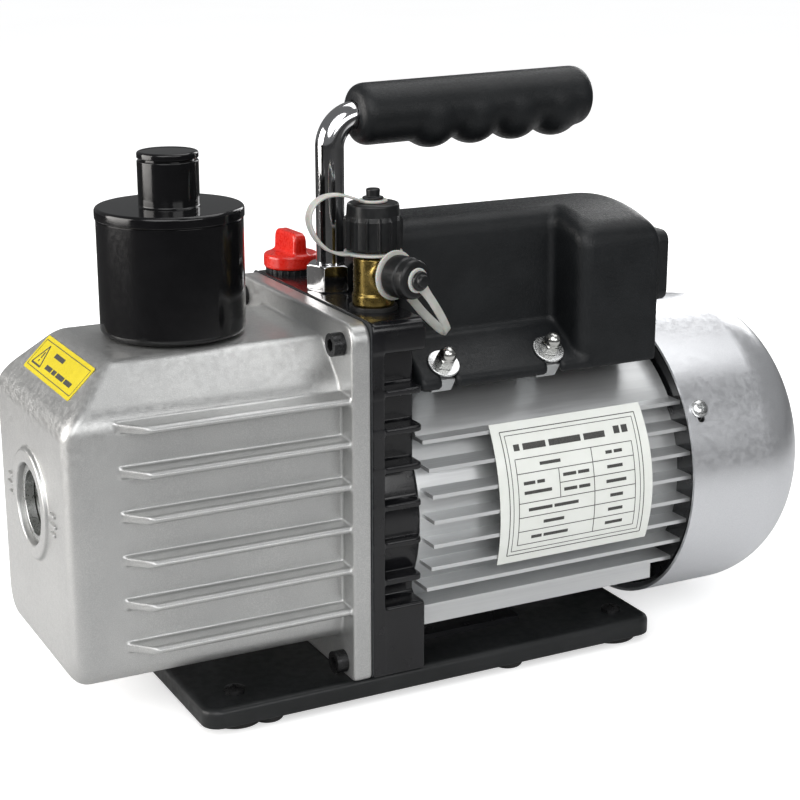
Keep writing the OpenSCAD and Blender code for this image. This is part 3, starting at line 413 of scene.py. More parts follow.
class Look:
    """A node material in object space, built up from patterns."""

    def __init__(self, name, colour, **inputs):
        self.mat = bpy.data.materials.new(name)
        self.mat.use_nodes = True
        self.nodes, self.links = self.mat.node_tree.nodes, self.mat.node_tree.links
        self.shader = self.nodes["Principled BSDF"]
        for key, number in inputs.items():
            self.shader.inputs[key.replace("_", " ")].default_value = number
        self.where = self.nodes.new("ShaderNodeTexCoord").outputs["Object"]
        flat = self.nodes.new("ShaderNodeRGB")
        flat.outputs[0].default_value = (*colour, 1)
        self.colour, self.height = flat.outputs[0], None

    def texture(self, kind, stretch, inputs):
        scale = self.nodes.new("ShaderNodeMapping")
        scale.inputs["Scale"].default_value = stretch
        self.links.new(self.where, scale.inputs["Vector"])
        if kind.startswith("Shader"):
            node = self.nodes.new(kind)
        else:
            node = self.nodes.new("ShaderNodeTexWave")
            node.bands_direction = kind
        for key, number in inputs.items():
            node.inputs[key].default_value = number
        self.links.new(scale.outputs["Vector"], node.inputs["Vector"])
        return node.outputs["Distance" if kind == "ShaderNodeTexVoronoi" else "Fac"]

    def spread(self, pattern, low, high, start=0.3, stop=0.7):
        """Maps a pattern from start..stop to low..high."""
        node = self.nodes.new("ShaderNodeMapRange")
        node.interpolation_type = "SMOOTHSTEP"
        for key, number in (("From Min", start), ("From Max", stop), ("To Min", low), ("To Max", high)):
            node.inputs[key].default_value = number
        self.links.new(self.texture(*pattern), node.inputs["Value"])
        return node.outputs["Result"]

    def tint(self, colour, pattern, amount, start=0.3, stop=0.7):
        """Mixes this much of the colour in where the pattern is high."""
        node = self.nodes.new("ShaderNodeMix")
        node.data_type = "RGBA"
        self.links.new(self.spread(pattern, 0, amount, start, stop), node.inputs["Factor"])
        self.links.new(self.colour, node.inputs["A"])
        node.inputs["B"].default_value = (*colour, 1)
        self.colour = node.outputs["Result"]
        return self

    def rough(self, pattern, low, high):
        self.links.new(self.spread(pattern, low, high), self.shader.inputs["Roughness"])
        return self

    def bump(self, pattern, depth):
        """Adds relief of this depth in millimetres."""
        node = self.nodes.new("ShaderNodeMath")
        node.operation = "MULTIPLY_ADD"
        self.links.new(self.texture(*pattern), node.inputs[0])
        node.inputs[1].default_value = depth
        node.inputs[2].default_value = 0
        if self.height is not None:
            self.links.new(self.height, node.inputs[2])
        self.height = node.outputs[0]
        return self

    def done(self):
        self.links.new(self.colour, self.shader.inputs["Base Color"])
        if self.height is not None:
            node = self.nodes.new("ShaderNodeBump")
            node.inputs["Distance"].default_value = MM
            self.links.new(self.height, node.inputs["Height"])
            self.links.new(node.outputs["Normal"], self.shader.inputs["Normal"])
        return self.mat


def smooth_plastic(name, colour, rough, coat=0.0):
    look = Look(name, colour, Coat_Weight=coat, Coat_Roughness=0.12, Specular_IOR_Level=0.4)
    look.tint(tuple(c * 1.7 + 0.001 for c in colour), noise(15), 0.5)
    look.rough(noise(2.2), rough * 0.85, rough * 1.25)
    return look.bump(noise(8), 0.02).bump(noise(0.6), 0.004).done()


def bright_metal(name, colour, rough, size=1.0, metal=1.0):
    look = Look(name, colour, Metallic=metal).tint(tuple(c * 0.72 for c in colour), noise(size * 5), 0.35)
    look.rough(noise(size * 0.8, detail=5), rough * 0.7, rough * 1.6)
    return look.bump(noise(size * 0.35), 0.006).done()


def paper(name, colour, low):
    look = Look(name, colour, Coat_Weight=0.3, Coat_Roughness=0.25).tint(low, noise(9), 0.6)
    return look.rough(noise(3), 0.36, 0.55).bump(noise(0.8), 0.008).done()


def fibre(name, colour, rough):
    look = Look(name, colour).tint(tuple(c * 1.6 for c in colour), noise(0.8, detail=6), 0.6)
    return look.rough(noise(2), rough * 0.8, min(rough * 1.2, 1)).bump(noise(0.5), 0.03).done()


INK = (Look("printed_ink", (0.035, 0.035, 0.033))
       .tint((0.10, 0.10, 0.095), noise(0.5, detail=4), 0.7).bump(noise(0.4), 0.004).done())

GRAIN, GRAIN_WIDE, GRAIN_LONG = (0.02, 1, 1), (0.03, 1, 1), (0.3, 1, 1)

LOOKS = {
    "black_paint": Look("plate_powder_coat", (0.007, 0.008, 0.0085), Coat_Weight=0.1, Coat_Roughness=0.25,
                        Specular_IOR_Level=0.35)
    .tint((0.018, 0.019, 0.020), noise(20), 0.5)
    .tint((0.12, 0.12, 0.12), noise(1.1, detail=6), 0.5, 0.74, 0.8)
    .rough(noise(4), 0.3, 0.46).bump(noise(0.45), 0.03).bump(noise(10), 0.06).done(),
    "black_casting": Look("black_enamel", (0.006, 0.006, 0.007), Coat_Weight=0.3, Coat_Roughness=0.1,
                          Specular_IOR_Level=0.32)
    .tint((0.012, 0.012, 0.014), noise(14), 0.5)
    .rough(noise(6), 0.2, 0.28).bump(noise(1.6), 0.006).bump(noise(14), 0.015).done(),
    "foot_rubber": Look("black_rubber", (0.010, 0.010, 0.010))
    .tint((0.024, 0.023, 0.022), noise(5), 0.6).rough(noise(1.0), 0.58, 0.8).bump(noise(0.4), 0.05).done(),
    "seal_rubber": smooth_plastic("moulded_seal", (0.014, 0.014, 0.014), 0.4),
    "black_screw": bright_metal("black_oxide_steel", (0.035, 0.035, 0.036), 0.32, metal=0.8),
    "bright_screw": bright_metal("zinc_plate", (0.70, 0.71, 0.71), 0.24),
    "silver_paint": Look("silver_cast_paint", (0.50, 0.505, 0.50), Metallic=0.8, Coat_Weight=0.1,
                         Coat_Roughness=0.3)
    .tint((0.62, 0.62, 0.61), noise(0.35, detail=1), 0.75, 0.45, 0.62)
    .tint((0.38, 0.385, 0.39), noise(28), 0.22)
    .rough(noise(2.5), 0.34, 0.47).bump(noise(0.5, detail=2), 0.035).bump(noise(14), 0.04).done(),
    "gasket_paper": fibre("gasket_paper", (0.03, 0.032, 0.034), 0.8),
    "sight_window": Look("sight_window", (0.030, 0.032, 0.026), Coat_Weight=0.5, Coat_Roughness=0.03)
    .tint((0.012, 0.013, 0.010), noise(9), 0.5).rough(noise(9), 0.03, 0.05).bump(noise(20), 0.002).done(),
    "sight_ring": bright_metal("steel_ring", (0.56, 0.57, 0.56), 0.3),
    "yellow_sticker": paper("yellow_film", (0.66, 0.54, 0.012), (0.60, 0.48, 0.01)),
    "white_sticker": paper("white_film", (0.84, 0.86, 0.82), (0.78, 0.80, 0.75)),
    "black_plastic": Look("grained_black_plastic", (0.007, 0.008, 0.009), Specular_IOR_Level=0.3)
    .tint((0.015, 0.0165, 0.018), noise(18), 0.5)
    .rough(noise(1.1, detail=4), 0.34, 0.52).bump(noise(0.55, detail=3), 0.10).bump(grains(0.7), 0.05).done(),
    "black_gloss": smooth_plastic("gloss_black_plastic", (0.004, 0.004, 0.0045), 0.13, coat=0.1),
    "filter_fibre": Look("pleated_fibre", (0.66, 0.62, 0.50))
    .tint((0.40, 0.36, 0.27), noise(2.2, (1, 1, 0.02)), 0.8)
    .rough(noise(1), 0.75, 0.95).bump(noise(2.2, (1, 1, 0.02)), 0.8).bump(noise(0.3), 0.04).done(),
    "machined_iron": bright_metal("machined_iron", (0.27, 0.275, 0.28), 0.38, 2.0),
    "vane_composite": fibre("vane_composite", (0.10, 0.07, 0.035), 0.5),
    "spring_steel": bright_metal("spring_steel", (0.48, 0.49, 0.50), 0.25),
    "seal_brown": fibre("seal_brown", (0.16, 0.045, 0.02), 0.5),
    "ground_steel": bright_metal("ground_steel", (0.62, 0.625, 0.63), 0.2, 1.4),
    "motor_silver": Look("extruded_aluminium", (0.68, 0.69, 0.695), Metallic=0.75)
    .tint((0.54, 0.55, 0.56), noise(1.2, GRAIN), 0.3)
    .tint((0.72, 0.73, 0.73), noise(14, GRAIN_LONG), 0.5)
    .rough(noise(0.9, GRAIN_WIDE), 0.32, 0.42).bump(noise(0.7, GRAIN), 0.008).done(),
    "core_steel": Look("core_laminations", (0.20, 0.205, 0.21), Metallic=0.9)
    .tint((0.09, 0.09, 0.095), bands("X", 1.0), 0.9, 0.5, 0.8)
    .rough(noise(3), 0.32, 0.55).bump(bands("X", 1.0), 0.08).done(),
    "copper_wire": Look("varnished_windings", (0.36, 0.115, 0.035), Metallic=0.55, Coat_Weight=0.5,
                        Coat_Roughness=0.15)
    .tint((0.14, 0.045, 0.02), bands("DIAGONAL", 0.9), 0.85, 0.45, 0.8)
    .rough(noise(2), 0.22, 0.45).bump(bands("DIAGONAL", 0.9), 0.25).bump(noise(6), 0.4).done(),
    "cover_silver": Look("fan_cover_paint", (0.74, 0.75, 0.775), Metallic=0.85, Coat_Weight=0.15,
                         Coat_Roughness=0.2)
    .tint((0.86, 0.87, 0.89), noise(0.25, detail=1), 0.6, 0.45, 0.6)
    .rough(noise(3), 0.29, 0.38).bump(noise(0.3, detail=1), 0.012).bump(noise(22), 0.12).done(),
    "chrome_bright": bright_metal("chrome", (0.80, 0.80, 0.81), 0.07, 1.5),
    "nickel_bright": bright_metal("nickel", (0.60, 0.60, 0.58), 0.2, 6.0),
    "can_metal": bright_metal("drawn_can", (0.66, 0.67, 0.68), 0.26),
    "red_plastic": Look("red_plastic", (0.62, 0.012, 0.006), Coat_Weight=0.25, Coat_Roughness=0.15,
                        Subsurface_Weight=0.08, Subsurface_Scale=0.002)
    .tint((0.75, 0.03, 0.015), noise(7), 0.6).rough(noise(1.5), 0.22, 0.38).bump(noise(4), 0.008).done(),
    "brass_raw": Look("turned_brass", (0.29, 0.21, 0.065), Metallic=1.0)
    .tint((0.20, 0.145, 0.05), noise(5), 0.3).rough(noise(3.0), 0.24, 0.34).bump(bands("Z", 0.35), 0.004)
    .done(),
    "cap_plastic": smooth_plastic("cap_plastic", (0.008, 0.0085, 0.009), 0.33),
    "strap_plastic": Look("clear_white_plastic", (0.60, 0.61, 0.575), Subsurface_Weight=0.3,
                          Subsurface_Scale=0.003, Transmission_Weight=0.12)
    .tint((0.50, 0.51, 0.475), noise(5), 0.6).rough(noise(1.2), 0.3, 0.5).bump(noise(2), 0.02).done(),
}

SLOT_OF, BODY_OF = {}, {}
for part in frame["record"]["subparts"]:
    SLOT_OF[part["node"]] = part["material_slot"]
    frame["nodes"][part["node"]].data.materials.clear()
    frame["nodes"][part["node"]].data.materials.append(LOOKS[part["material_slot"]])
for body, group in frame["record"]["behaviour"]["bodies"].items():
    BODY_OF.update(dict.fromkeys(group, body))

# ---------- oil casing ----------

SLOPE = math.atan2(TANK_TOP - FACE_TOP, LABEL_BACK - TANK_FRONT)
SHOULDER = math.atan2(SHOULDER_LOW - TANK_TOP, TANK_HALF + 1 - ROOF_HALF)


def tank(x, y, z, grow):
    """Oil tank in front of the flange, grown on all sides by a distance."""
    side = np.abs(y)
    front = TANK_FRONT - x - grow
    wall = side - TANK_HALF - grow - 0.008 * (x + 130)
    under = TANK_BOTTOM - z - grow
    roof = z - TANK_TOP - grow
    slope = (z - FACE_TOP) * math.cos(SLOPE) - (x - TANK_FRONT) * math.sin(SLOPE) - grow
    shoulder = (side - ROOF_HALF) * -math.sin(SHOULDER) + (z - TANK_TOP) * math.cos(SHOULDER) - grow
    body = smax(smax(wall, under, 12), front, 8)
    upper = smax(roof, shoulder, 2.5)
    return smax(smax(body, upper, 5), slope, 4)


def flange(x, y, z, x0, x1, edge):
    """Plate with the round-cornered outline shared by the casing flange and the support casting."""
    outline = smax(smax(np.abs(y) - FLANGE_HALF, z - FLANGE_TOP, 9), FLANGE_BOTTOM - z, 3)
    return smax(slab(x, x0, x1), outline, edge)


def casing_ribs(x, y, z):
    side = np.abs(y)
    which = np.clip(np.round((RIB_TOP - z) / RIB_PITCH), 0, RIBS - 1)
    off = np.abs(z - (RIB_TOP - which * RIB_PITCH))
    rib = smax(off - 2.1 + 0.03 * (side - TANK_HALF), side - (FLANGE_HALF - 1), 3.0)
    tip = ((side - TANK_HALF) - (x + 110.5)) * math.sqrt(0.5)
    return np.maximum(smax(rib, tip, 1.2), np.maximum(45 - side, x + 4))


BOLTS = [(s * 53, z) for s in (-1, 1) for z in (FLANGE_BOTTOM + 7, FLANGE_TOP - 9.5)]


def casing_field(x, y, z):
    body = np.maximum(tank(x, y, z, 0.0), x + 2)
    body = smin(body, flange(x, y, z, -GASKET - FLANGE_T, -GASKET, 1.6), 1.4)
    body = smin(body, casing_ribs(x, y, z), 1.1)
    centre = np.hypot(y, z - GLASS_Z)
    boss = smax(centre - 24.5, slab(x, TANK_FRONT - BOSS_PROUD, TANK_FRONT + 6), 1.4)
    body = smin(body, boss, 1.2)
    seat = smax(ring(x - FILTER_X, y, 19), slab(z, TANK_TOP - 8, TANK_TOP + 1), 0.8)
    body = smin(body, seat, 1.2)
    drain = smax(ring(x - DRAIN_X, y, 11), slab(z, TANK_BOTTOM - 3, TANK_BOTTOM + 6), 1.0)
    body = smin(body, drain, 1.5)
    cavity = np.maximum(tank(x, y, z, -TANK_WALL), 12 - z)
    cavity = smax(cavity, -np.maximum(centre - 24, x - TANK_FRONT - 9), 1.0)
    body = smax(body, -cavity, 0.6)
    thread = 0.3 * np.abs((x / 1.5) % 1 - 0.5)
    body = smax(body, -np.maximum(centre - 17.9 - thread, x - TANK_FRONT - 12), 1.2)
    body = np.maximum(body, -np.maximum(ring(x - FILTER_X, y, 12), TANK_TOP - 14 - z))
    body = np.maximum(body, -np.maximum(ring(x - DRAIN_X, y, 5), z - TANK_BOTTOM - 12))
    for by, bz in BOLTS:
        body = np.maximum(body, -np.maximum(ring(y - by, z - bz, 3.1), -15 - x))
    return body


field_piece("oil_casing_body", casing_field, "oil_casing", 1.5, 1.0)


# ---------- support casting ----------

SUPPORT_FINS, SUPPORT_FIN_LOW, SUPPORT_FIN_TOP = 6, 57.5, 144.2


def support_field(x, y, z):
    side = np.abs(y)
    depth = support_high[0]
    body = flange(x, y, z, 0, 6.2, 1.2)
    head = smax(smax(side - FLANGE_HALF, z - FLANGE_TOP, 5), 162 - z, 2)
    body = smin(body, smax(slab(x, 0, depth), head, 1.6), 0.8)
    foot = smax(smax(side - FLANGE_HALF, FLANGE_BOTTOM - z, 1.5), z - 46, 2)
    body = smin(body, smax(slab(x, 0, depth), foot, 1.4), 0.8)
    core = smax(side - 51.5, slab(z, 14, 175), 2)
    core = smin(core, ring(y, z - SHAFT_Z, 58.5), 2)
    body = smin(body, smax(slab(x, 0, depth), core, 1.5), 2.0)
    step = (SUPPORT_FIN_TOP - SUPPORT_FIN_LOW) / (SUPPORT_FINS - 1)
    which = np.clip(np.round((z - SUPPORT_FIN_LOW) / step), 0, SUPPORT_FINS - 1)
    off = np.abs(z - SUPPORT_FIN_LOW - which * step)
    plan = smax(side - FLANGE_HALF + 0.5, slab(x, -3, depth - 1), 3.5)
    body = smin(body, np.maximum(smax(off - 1.5, plan, 0.9), -x), 0.9)
    centre = np.hypot(y, z - SHAFT_Z)
    bore = np.where(x < 4, 9.0, np.where(x < 12, 15.0, np.where(x < 23, 17.5, 20.0)))
    body = np.maximum(body, bore - centre)
    for by, bz in BOLTS:
        body = np.maximum(body, -np.maximum(ring(y - by, z - bz, 3.1), x - 9))
    return np.maximum(body, -x)


field_piece("support_body", support_field, "support_casting", 1.5, 0.8)


# ---------- control box ----------

BOX_STEP_X, CROWN_Y, CROWN_R = 108.0, -18.0, 105.0
PANEL_Z = (panel_low[2] + panel_high[2]) / 2
PANEL_WINDOWS = ((-36.0, 7.6, 11.0), (2.0, 14.0, 10.5))


def box_shell(x, y, z, grow):
    """Outside of the control box with its skirt, grown on all sides by a distance."""
    top, bottom = box_high[2] + grow, box_low[2] - 3 * max(-grow, 0)
    half = 33.2 + 0.035 * (top - z) + grow
    reach = box_high[1] + grow
    front, back = box_low[0] - grow, box_high[0] + grow
    near = smin(-y - half, smax(-y - reach, BOX_STEP_X - grow - x, 7), 4)
    body = smax(smax(near, x - back, 3), smax(y - half, front - x, 6), 4)
    body = smax(body, np.hypot(y - CROWN_Y, z - top + CROWN_R + grow) - CROWN_R - grow, 9)
    skirt = smax(ring(y, z - SHAFT_Z, SKIRT_R + grow), np.abs(y) - reach, 1.5)
    skirt = smax(skirt, np.maximum(front - x, x - np.where(y < 0, BOX_STEP_X + 6, back - 1)), 2.5)
    return np.maximum(smin(body, skirt, 2.5), bottom - z)


def stud_frame(y, z, side):
    """Distance outward from the shaft along a stud, and distance across it towards the rim."""
    lift = z - SHAFT_Z
    out = side * y * math.sin(STUD_TURN) + lift * math.cos(STUD_TURN)
    across = side * y * math.cos(STUD_TURN) - lift * math.sin(STUD_TURN)
    return out, across


def box_field(x, y, z):
    body = smax(box_shell(x, y, z, 0.0), box_low[2] - z, 1.6)
    body = smax(body, -box_shell(x, y, z, -3.0), 1.0)
    for stud_x in STUD_XS:
        for side in (-1, 1):
            out, across = stud_frame(y, z, side)
            slot = np.hypot(x - stud_x, np.minimum(across, 0)) - 3.0
            body = smax(body, -np.maximum(slot, 75 - out), 3.0)
    rocker, inlet = (np.maximum(np.abs(y - middle) - half_y, np.abs(z - PANEL_Z) - half_z)
                     for middle, half_y, half_z in PANEL_WINDOWS)
    return np.maximum(body, -np.maximum(np.minimum(rocker, inlet), box_high[0] - 5 - x))


field_piece("control_box_shell", box_field, "control_box", 1.5, 1.0)


# ---------- handle grip ----------

GRIP_Z, GRIP_R, GRIP_FRONT, GRIP_BACK = 254.8, 14.0, 26.0, 148.5
BEND_R, GRIP_RISE = 14.0, math.radians(1.3)
LUMPS, FIRST_LUMP, LUMP_PITCH, LUMP_R, LUMP_DROP = 4, 64.5, 22.0, 14.6, 3.2


def along_grip(x, z):
    """Position along the tilted grip and height above its centre line."""
    back, lift = x - FITTING_X - BEND_R, z - GRIP_Z + BEND_R
    along = back * math.cos(GRIP_RISE) + lift * math.sin(GRIP_RISE) + FITTING_X + BEND_R
    return along, lift * math.cos(GRIP_RISE) - back * math.sin(GRIP_RISE) - BEND_R


def grip_field(x, y, z):
    x, z = along_grip(x, z)
    y = y - ROD_Y
    body = smax(np.hypot(y, z) - GRIP_R, GRIP_FRONT - x, 7)
    body = smax(body, x - GRIP_BACK, 8)
    for i in range(LUMPS):
        lump_x = FIRST_LUMP + i * LUMP_PITCH
        lump = np.sqrt((x - lump_x) ** 2 + y ** 2 + (z + LUMP_DROP) ** 2) - LUMP_R
        body = smin(body, lump, 1.6)
    hole = np.hypot(y, z) - ROD_R - 0.02
    return np.maximum(body, -np.maximum(hole, x - GRIP_BACK + 11))


field_piece("grip_body", grip_field, "handle_grip", 1.5, 0.8)


# ---------- gas ballast knob ----------

WING_TURN = math.radians(92)
BALLAST_Y = (knob_low[1] + knob_high[1]) / 2
KNOB_BASE = FLANGE_TOP + 2.3


def knob_field(x, y, z):
    x, y, z = x - FITTING_X, y - BALLAST_Y, z - KNOB_BASE
    base = smax(np.hypot(x, y) - 12.9, slab(z, 0, 7), 1.8)
    along = x * math.cos(WING_TURN) + y * math.sin(WING_TURN)
    across = y * math.cos(WING_TURN) - x * math.sin(WING_TURN)
    wing = smax(np.abs(along) - 11, z - 17.3, 3.5)
    wing = smax(wing, np.abs(across) - 3.7 + 0.05 * (z - 7), 1.8)
    body = smin(base, np.maximum(wing, 4 - z), 1.8)
    stem = np.maximum(np.hypot(x, y) - 2.4, slab(z, -10.3, 3))
    return np.minimum(body, stem)


field_piece("ballast_knob_body", knob_field, "ballast_knob", 1.0, 0.45)


# ---------- base plate and feet ----------

PLATE_T, PLATE_ROLL = 2.0, 3.0
SCREW_HOLES = ((-60, 46.5, 2.7), (138, 46.5, 2.7), (17, 48, 3.2), (44, 0, 3.2), (74, 0, 3.2))
FEET = ((-60.0, 46.5, 12.5, 2.6), (138.0, 46.5, 12.5, 2.6), (-47.0, 52.0, 7.5, 0.0), (76.0, 52.0, 7.5, 0.0))


def plate_outline(x, y, shrink):
    half_x = (plate_high[0] - plate_low[0]) / 2 - shrink
    half_y = plate_high[1] - shrink
    corner = 8.0 - shrink
    off_x = np.abs(x - (plate_low[0] + plate_high[0]) / 2) - half_x + corner
    off_y = np.abs(y) - half_y + corner
    return np.hypot(np.maximum(off_x, 0), np.maximum(off_y, 0)) + np.minimum(
        np.maximum(off_x, off_y), 0) - corner


def plate_field(x, y, z):
    top, low = plate_high[2], plate_low[2]
    outer = smax(plate_outline(x, y, 0), z - top, PLATE_ROLL * 1.17)
    inner = smax(plate_outline(x, y, PLATE_T), z - top + PLATE_T, 1.2)
    body = smax(outer, -inner, 0.6)
    body = smax(body, low - z, 0.8)
    for fx, fy, r in SCREW_HOLES:
        body = np.maximum(body, r - np.hypot(x - fx, np.abs(y) - fy))
    return body


field_piece("base_plate_body", plate_field, "base_plate", 1.5, 1.0)


def feet():
    """Corner feet with a screw hole, and smaller solid bumpers between them."""
    bm = bmesh.new()
    under = plate_high[2] - PLATE_T
    for fx, fy, r, hole in FEET:
        for side in (-1, 1):
            bore = min(hole * 2, 5.0)
            outline = rounded([(hole, under), (r - 1.2, under), (r - 1.2, 5.2, 0.6), (r, 4.4, 1.2),
                               (r, 0.0, 2.2), (bore, 0.0, 0.6 if hole else 0), (bore, 3.0 if hole else 0.2),
                               (hole, 3.0 if hole else 0.4)])
            add_lathe(bm, outline, 64, at=place(fx, side * fy, 0))
    finish_mesh("feet_moulded", bm, stands_for("rubber_feet"))


feet()

# ---------- filter, outlet cap ----------

LID_TOP = NECK_TOP - 19.5
SEAM = LID_TOP - 5.5
CANISTER_LOW = TANK_TOP + 1.1
FILTER_WALL = 3.0
at_filter = place(FILTER_X, 0, 0)
lathe("filter_canister", [
    (12, CANISTER_LOW), (FILTER_R, CANISTER_LOW, 3), (FILTER_R, SEAM), (FILTER_R - FILTER_WALL, SEAM),
    (FILTER_R - FILTER_WALL, CANISTER_LOW + FILTER_WALL, 3), (8, CANISTER_LOW + FILTER_WALL),
    (8, TANK_TOP - 12, 0.4), (11.8, TANK_TOP - 12, 0.6), (11.8, CANISTER_LOW)],
    at_filter, "filter_housing", segments=160)
lathe("filter_cover", [
    (9.5, SEAM - 4), (FILTER_R - 3.3, SEAM - 4, 0.4), (FILTER_R - 3.3, SEAM), (FILTER_R - 0.5, SEAM),
    (FILTER_R - 0.5, SEAM + 0.7), (FILTER_R + 0.5, SEAM + 0.7, 0.3), (FILTER_R + 0.5, LID_TOP, 1.6),
    (13.2, LID_TOP, 0.8), (13.2, NECK_TOP, 0.5), (9.5, NECK_TOP)], at_filter, "filter_lid", segments=160)
lathe("outlet_cover", [
    (0, NECK_TOP - 6), (9.2, NECK_TOP - 6, 0.6), (9.2, NECK_TOP, 0.2), (11.4, NECK_TOP), (11.4, NECK_TOP + 1),
    (13.2, NECK_TOP + 1, 0.3), (13.2, OUTLET_TOP - 0.5, 1.0), (11.9, OUTLET_TOP - 0.1, 0.6),
    (11.2, OUTLET_TOP - 0.4, 0.4), (0, OUTLET_TOP - 0.2)], at_filter, "outlet_cap", segments=128)

# ---------- sight glass ----------

at_glass = place(TANK_FRONT, 0, GLASS_Z) @ ALONG_X
lathe("sight_window", [(0, 5.2), (17.5, 5.2, 0.4), (17.5, 8.0, 0.4), (0, 8.0)], at_glass,
      "sight_glass")
lathe("sight_retainer", [(14.2, 0.6, 0.4), (17.5, 0.6, 0.6), (17.5, 5.0, 0.2), (14.2, 5.0, 0.2)], at_glass,
      "sight_glass_ring", segments=128)


def boss_marks():
    """Raised bars on both sides of the sight glass, in place of cast lettering."""
    bm = bmesh.new()
    for side in (-1, 1):
        for row, length in enumerate((6.0, 7.4, 5.4)):
            middle = Vector((TANK_FRONT - 0.35, side * (31.0 + (length - 6) / 2), GLASS_Z + 4.2 - 4.2 * row))
            made = bmesh.ops.create_cube(bm, size=1)
            bmesh.ops.scale(bm, vec=(1.6, length, 1.7), verts=made["verts"])
            bmesh.ops.translate(bm, vec=middle, verts=made["verts"])
    bmesh.ops.bevel(bm, geom=list(bm.edges), offset=0.45, segments=3, affect="EDGES", profile=0.5)
    finish_mesh("casing_marks", bm, printed(LOOKS["silver_paint"], "silver_paint"))


boss_marks()

# ---------- handle rod and nut ----------

def rod():
    """Round rod up from the casting, through a bend and along the inside of the tilted grip."""
    top = GRIP_Z - BEND_R
    path = [(FITTING_X, ROD_Y, z) for z in np.linspace(FLANGE_TOP - 17, top, 24)]
    ahead = [(0, 0, 1)] * len(path)
    for a in np.linspace(0, math.pi / 2 - GRIP_RISE, 25)[1:]:
        path.append((FITTING_X + BEND_R * (1 - math.cos(a)), ROD_Y, top + BEND_R * math.sin(a)))
        ahead.append((math.sin(a), 0, math.cos(a)))
    bend_end, out = np.array(path[-1]), ahead[-1]
    for length in np.linspace(0, GRIP_BACK - 12.5 - FITTING_X - BEND_R, 20)[1:]:
        path.append(bend_end + length * np.array(out))
        ahead.append(out)
    rings = []
    for p, t in zip(path, ahead):
        side, up = Vector((0, 1, 0)), Vector(t).cross(Vector((0, 1, 0)))
        rings.append([Vector(p) + (side * math.cos(b) + up * math.sin(b)) * ROD_R
                      for b in np.linspace(0, 2 * math.pi, 64, endpoint=False)])
    bm = bmesh.new()
    skin(bm, rings)
    finish_mesh("handle_rod_tube", bm, stands_for("handle_rod"))


rod()


def hexagon(x, y, flats, turn):
    turns = [turn + i * math.pi / 3 for i in range(3)]
    return np.maximum.reduce([np.abs(x * math.cos(a) + y * math.sin(a)) for a in turns]) - flats / 2


def nut_field(x, y, z):
    x, y, z = x - FITTING_X, y - ROD_Y, z - FLANGE_TOP
    middle = (NUT_TOP - FLANGE_TOP) / 2
    body = smax(hexagon(x, y, 19.5, math.radians(79)), slab(z, 0, NUT_TOP - FLANGE_TOP), 0.5)
    for end in (-1, 1):
        cone = (np.hypot(x, y) - 9.9) * 0.5 + (end * (z - middle) - middle) * 0.87
        body = smax(body, cone, 0.3)
    return np.maximum(body, ROD_R + 0.05 - np.hypot(x, y))


field_piece("handle_nut_body", nut_field, "handle_nut", 1.0, 0.4)

# ---------- inlet tee, its caps and straps ----------

OUT = Vector((math.sin(PORT_TURN), -math.cos(PORT_TURN), 0))
at_tee = place(FITTING_X, TEE_Y, 0)
at_port = (place(FITTING_X, TEE_Y, PORT_Z) @ Matrix.Rotation(PORT_TURN, 4, "Z")
           @ Matrix.Rotation(math.radians(90), 4, "X"))
TEE_TOP = 202.0


def tee_field(x, y, z):
    x, y = x - FITTING_X, y - TEE_Y
    r = np.hypot(x, y)
    out = x * OUT.x + y * OUT.y
    side = np.hypot(x * OUT.y - y * OUT.x, z - PORT_Z)
    body = smax(r - 8.8, slab(z, 177, TEE_TOP - 2.6), 1.0)
    collar = smax(r - 9.4, slab(z, FLANGE_TOP + 2, FLANGE_TOP + 7.5), 1.2)
    body = smin(body, collar, 0.6)
    body = smin(body, np.maximum(r - 6.5, slab(z, 166, 178)), 0.3)
    thread = 0.35 * np.abs((z / 1.4) % 1 - 0.5)
    body = smin(body, smax(r - 7 + thread, slab(z, TEE_TOP - 3, TEE_TOP + 14), 0.8), 0.5)
    body = smin(body, np.maximum(side - 6.8, slab(out, 0, 13)), 1.6)
    thread = 0.35 * np.abs((out / 1.2) % 1 - 0.5)
    body = smin(body, smax(side - 5.5 + thread, slab(out, 0, 24), 0.8), 0.4)
    body = smax(body, 4 - r, 0.6)
    return smax(body, -np.maximum(side - 3.2, -out), 0.6)


field_piece("tee_body", tee_field, "inlet_tee", 1.0, 0.4)

FLUTES = 14
CAP_LOW, CAP_TOP = 203.0, 223.0


def scallops(angle, r, h):
    """Narrow rounded ribs on a slightly smaller barrel, fading out at the shoulder."""
    if r < 11 or h > CAP_LOW + 13.2:
        return 1.0
    return 1.0 - 0.095 * min(1.0, abs(math.sin(FLUTES / 2 * angle)) / 0.42) ** 2


lathe("top_cap_moulded", [
    (7.2, CAP_LOW), (13.0, CAP_LOW, 0.6), (13.0, CAP_LOW + 12.8, 0.8), (11.7, CAP_LOW + 14.6, 0.4),
    (11.3, CAP_TOP, 1.2), (2, CAP_TOP, 0.3), (2, CAP_TOP + 1.5, 0.2),
    (4.6, CAP_TOP + 1.5, 0.3), (4.6, CAP_TOP + 2.4, 0.3), (2.9, CAP_TOP + 2.4, 0.4), (3.1, CAP_TOP + 6, 0.7),
    (0, CAP_TOP + 6), (0, CAP_LOW + 14), (7.2, CAP_LOW + 14)], at_tee, "top_cap",
    segments=24 * FLUTES, shape=scallops)
lathe("side_cap_moulded", [
    (5.7, 15), (9.2, 15, 0.6), (9.2, 22.2, 0.7), (8.6, 23, 0.3), (8.6, 27.5, 1.6), (2, 27.5, 0.3),
    (2, 29.2, 0.2), (4.4, 29.2, 0.5), (4.2, 30.8, 0.5), (3.0, 31, 0.4), (2.8, 32.8, 0.8), (0, 32.8),
    (0, 25), (5.7, 25)], at_port, "side_cap", segments=128)


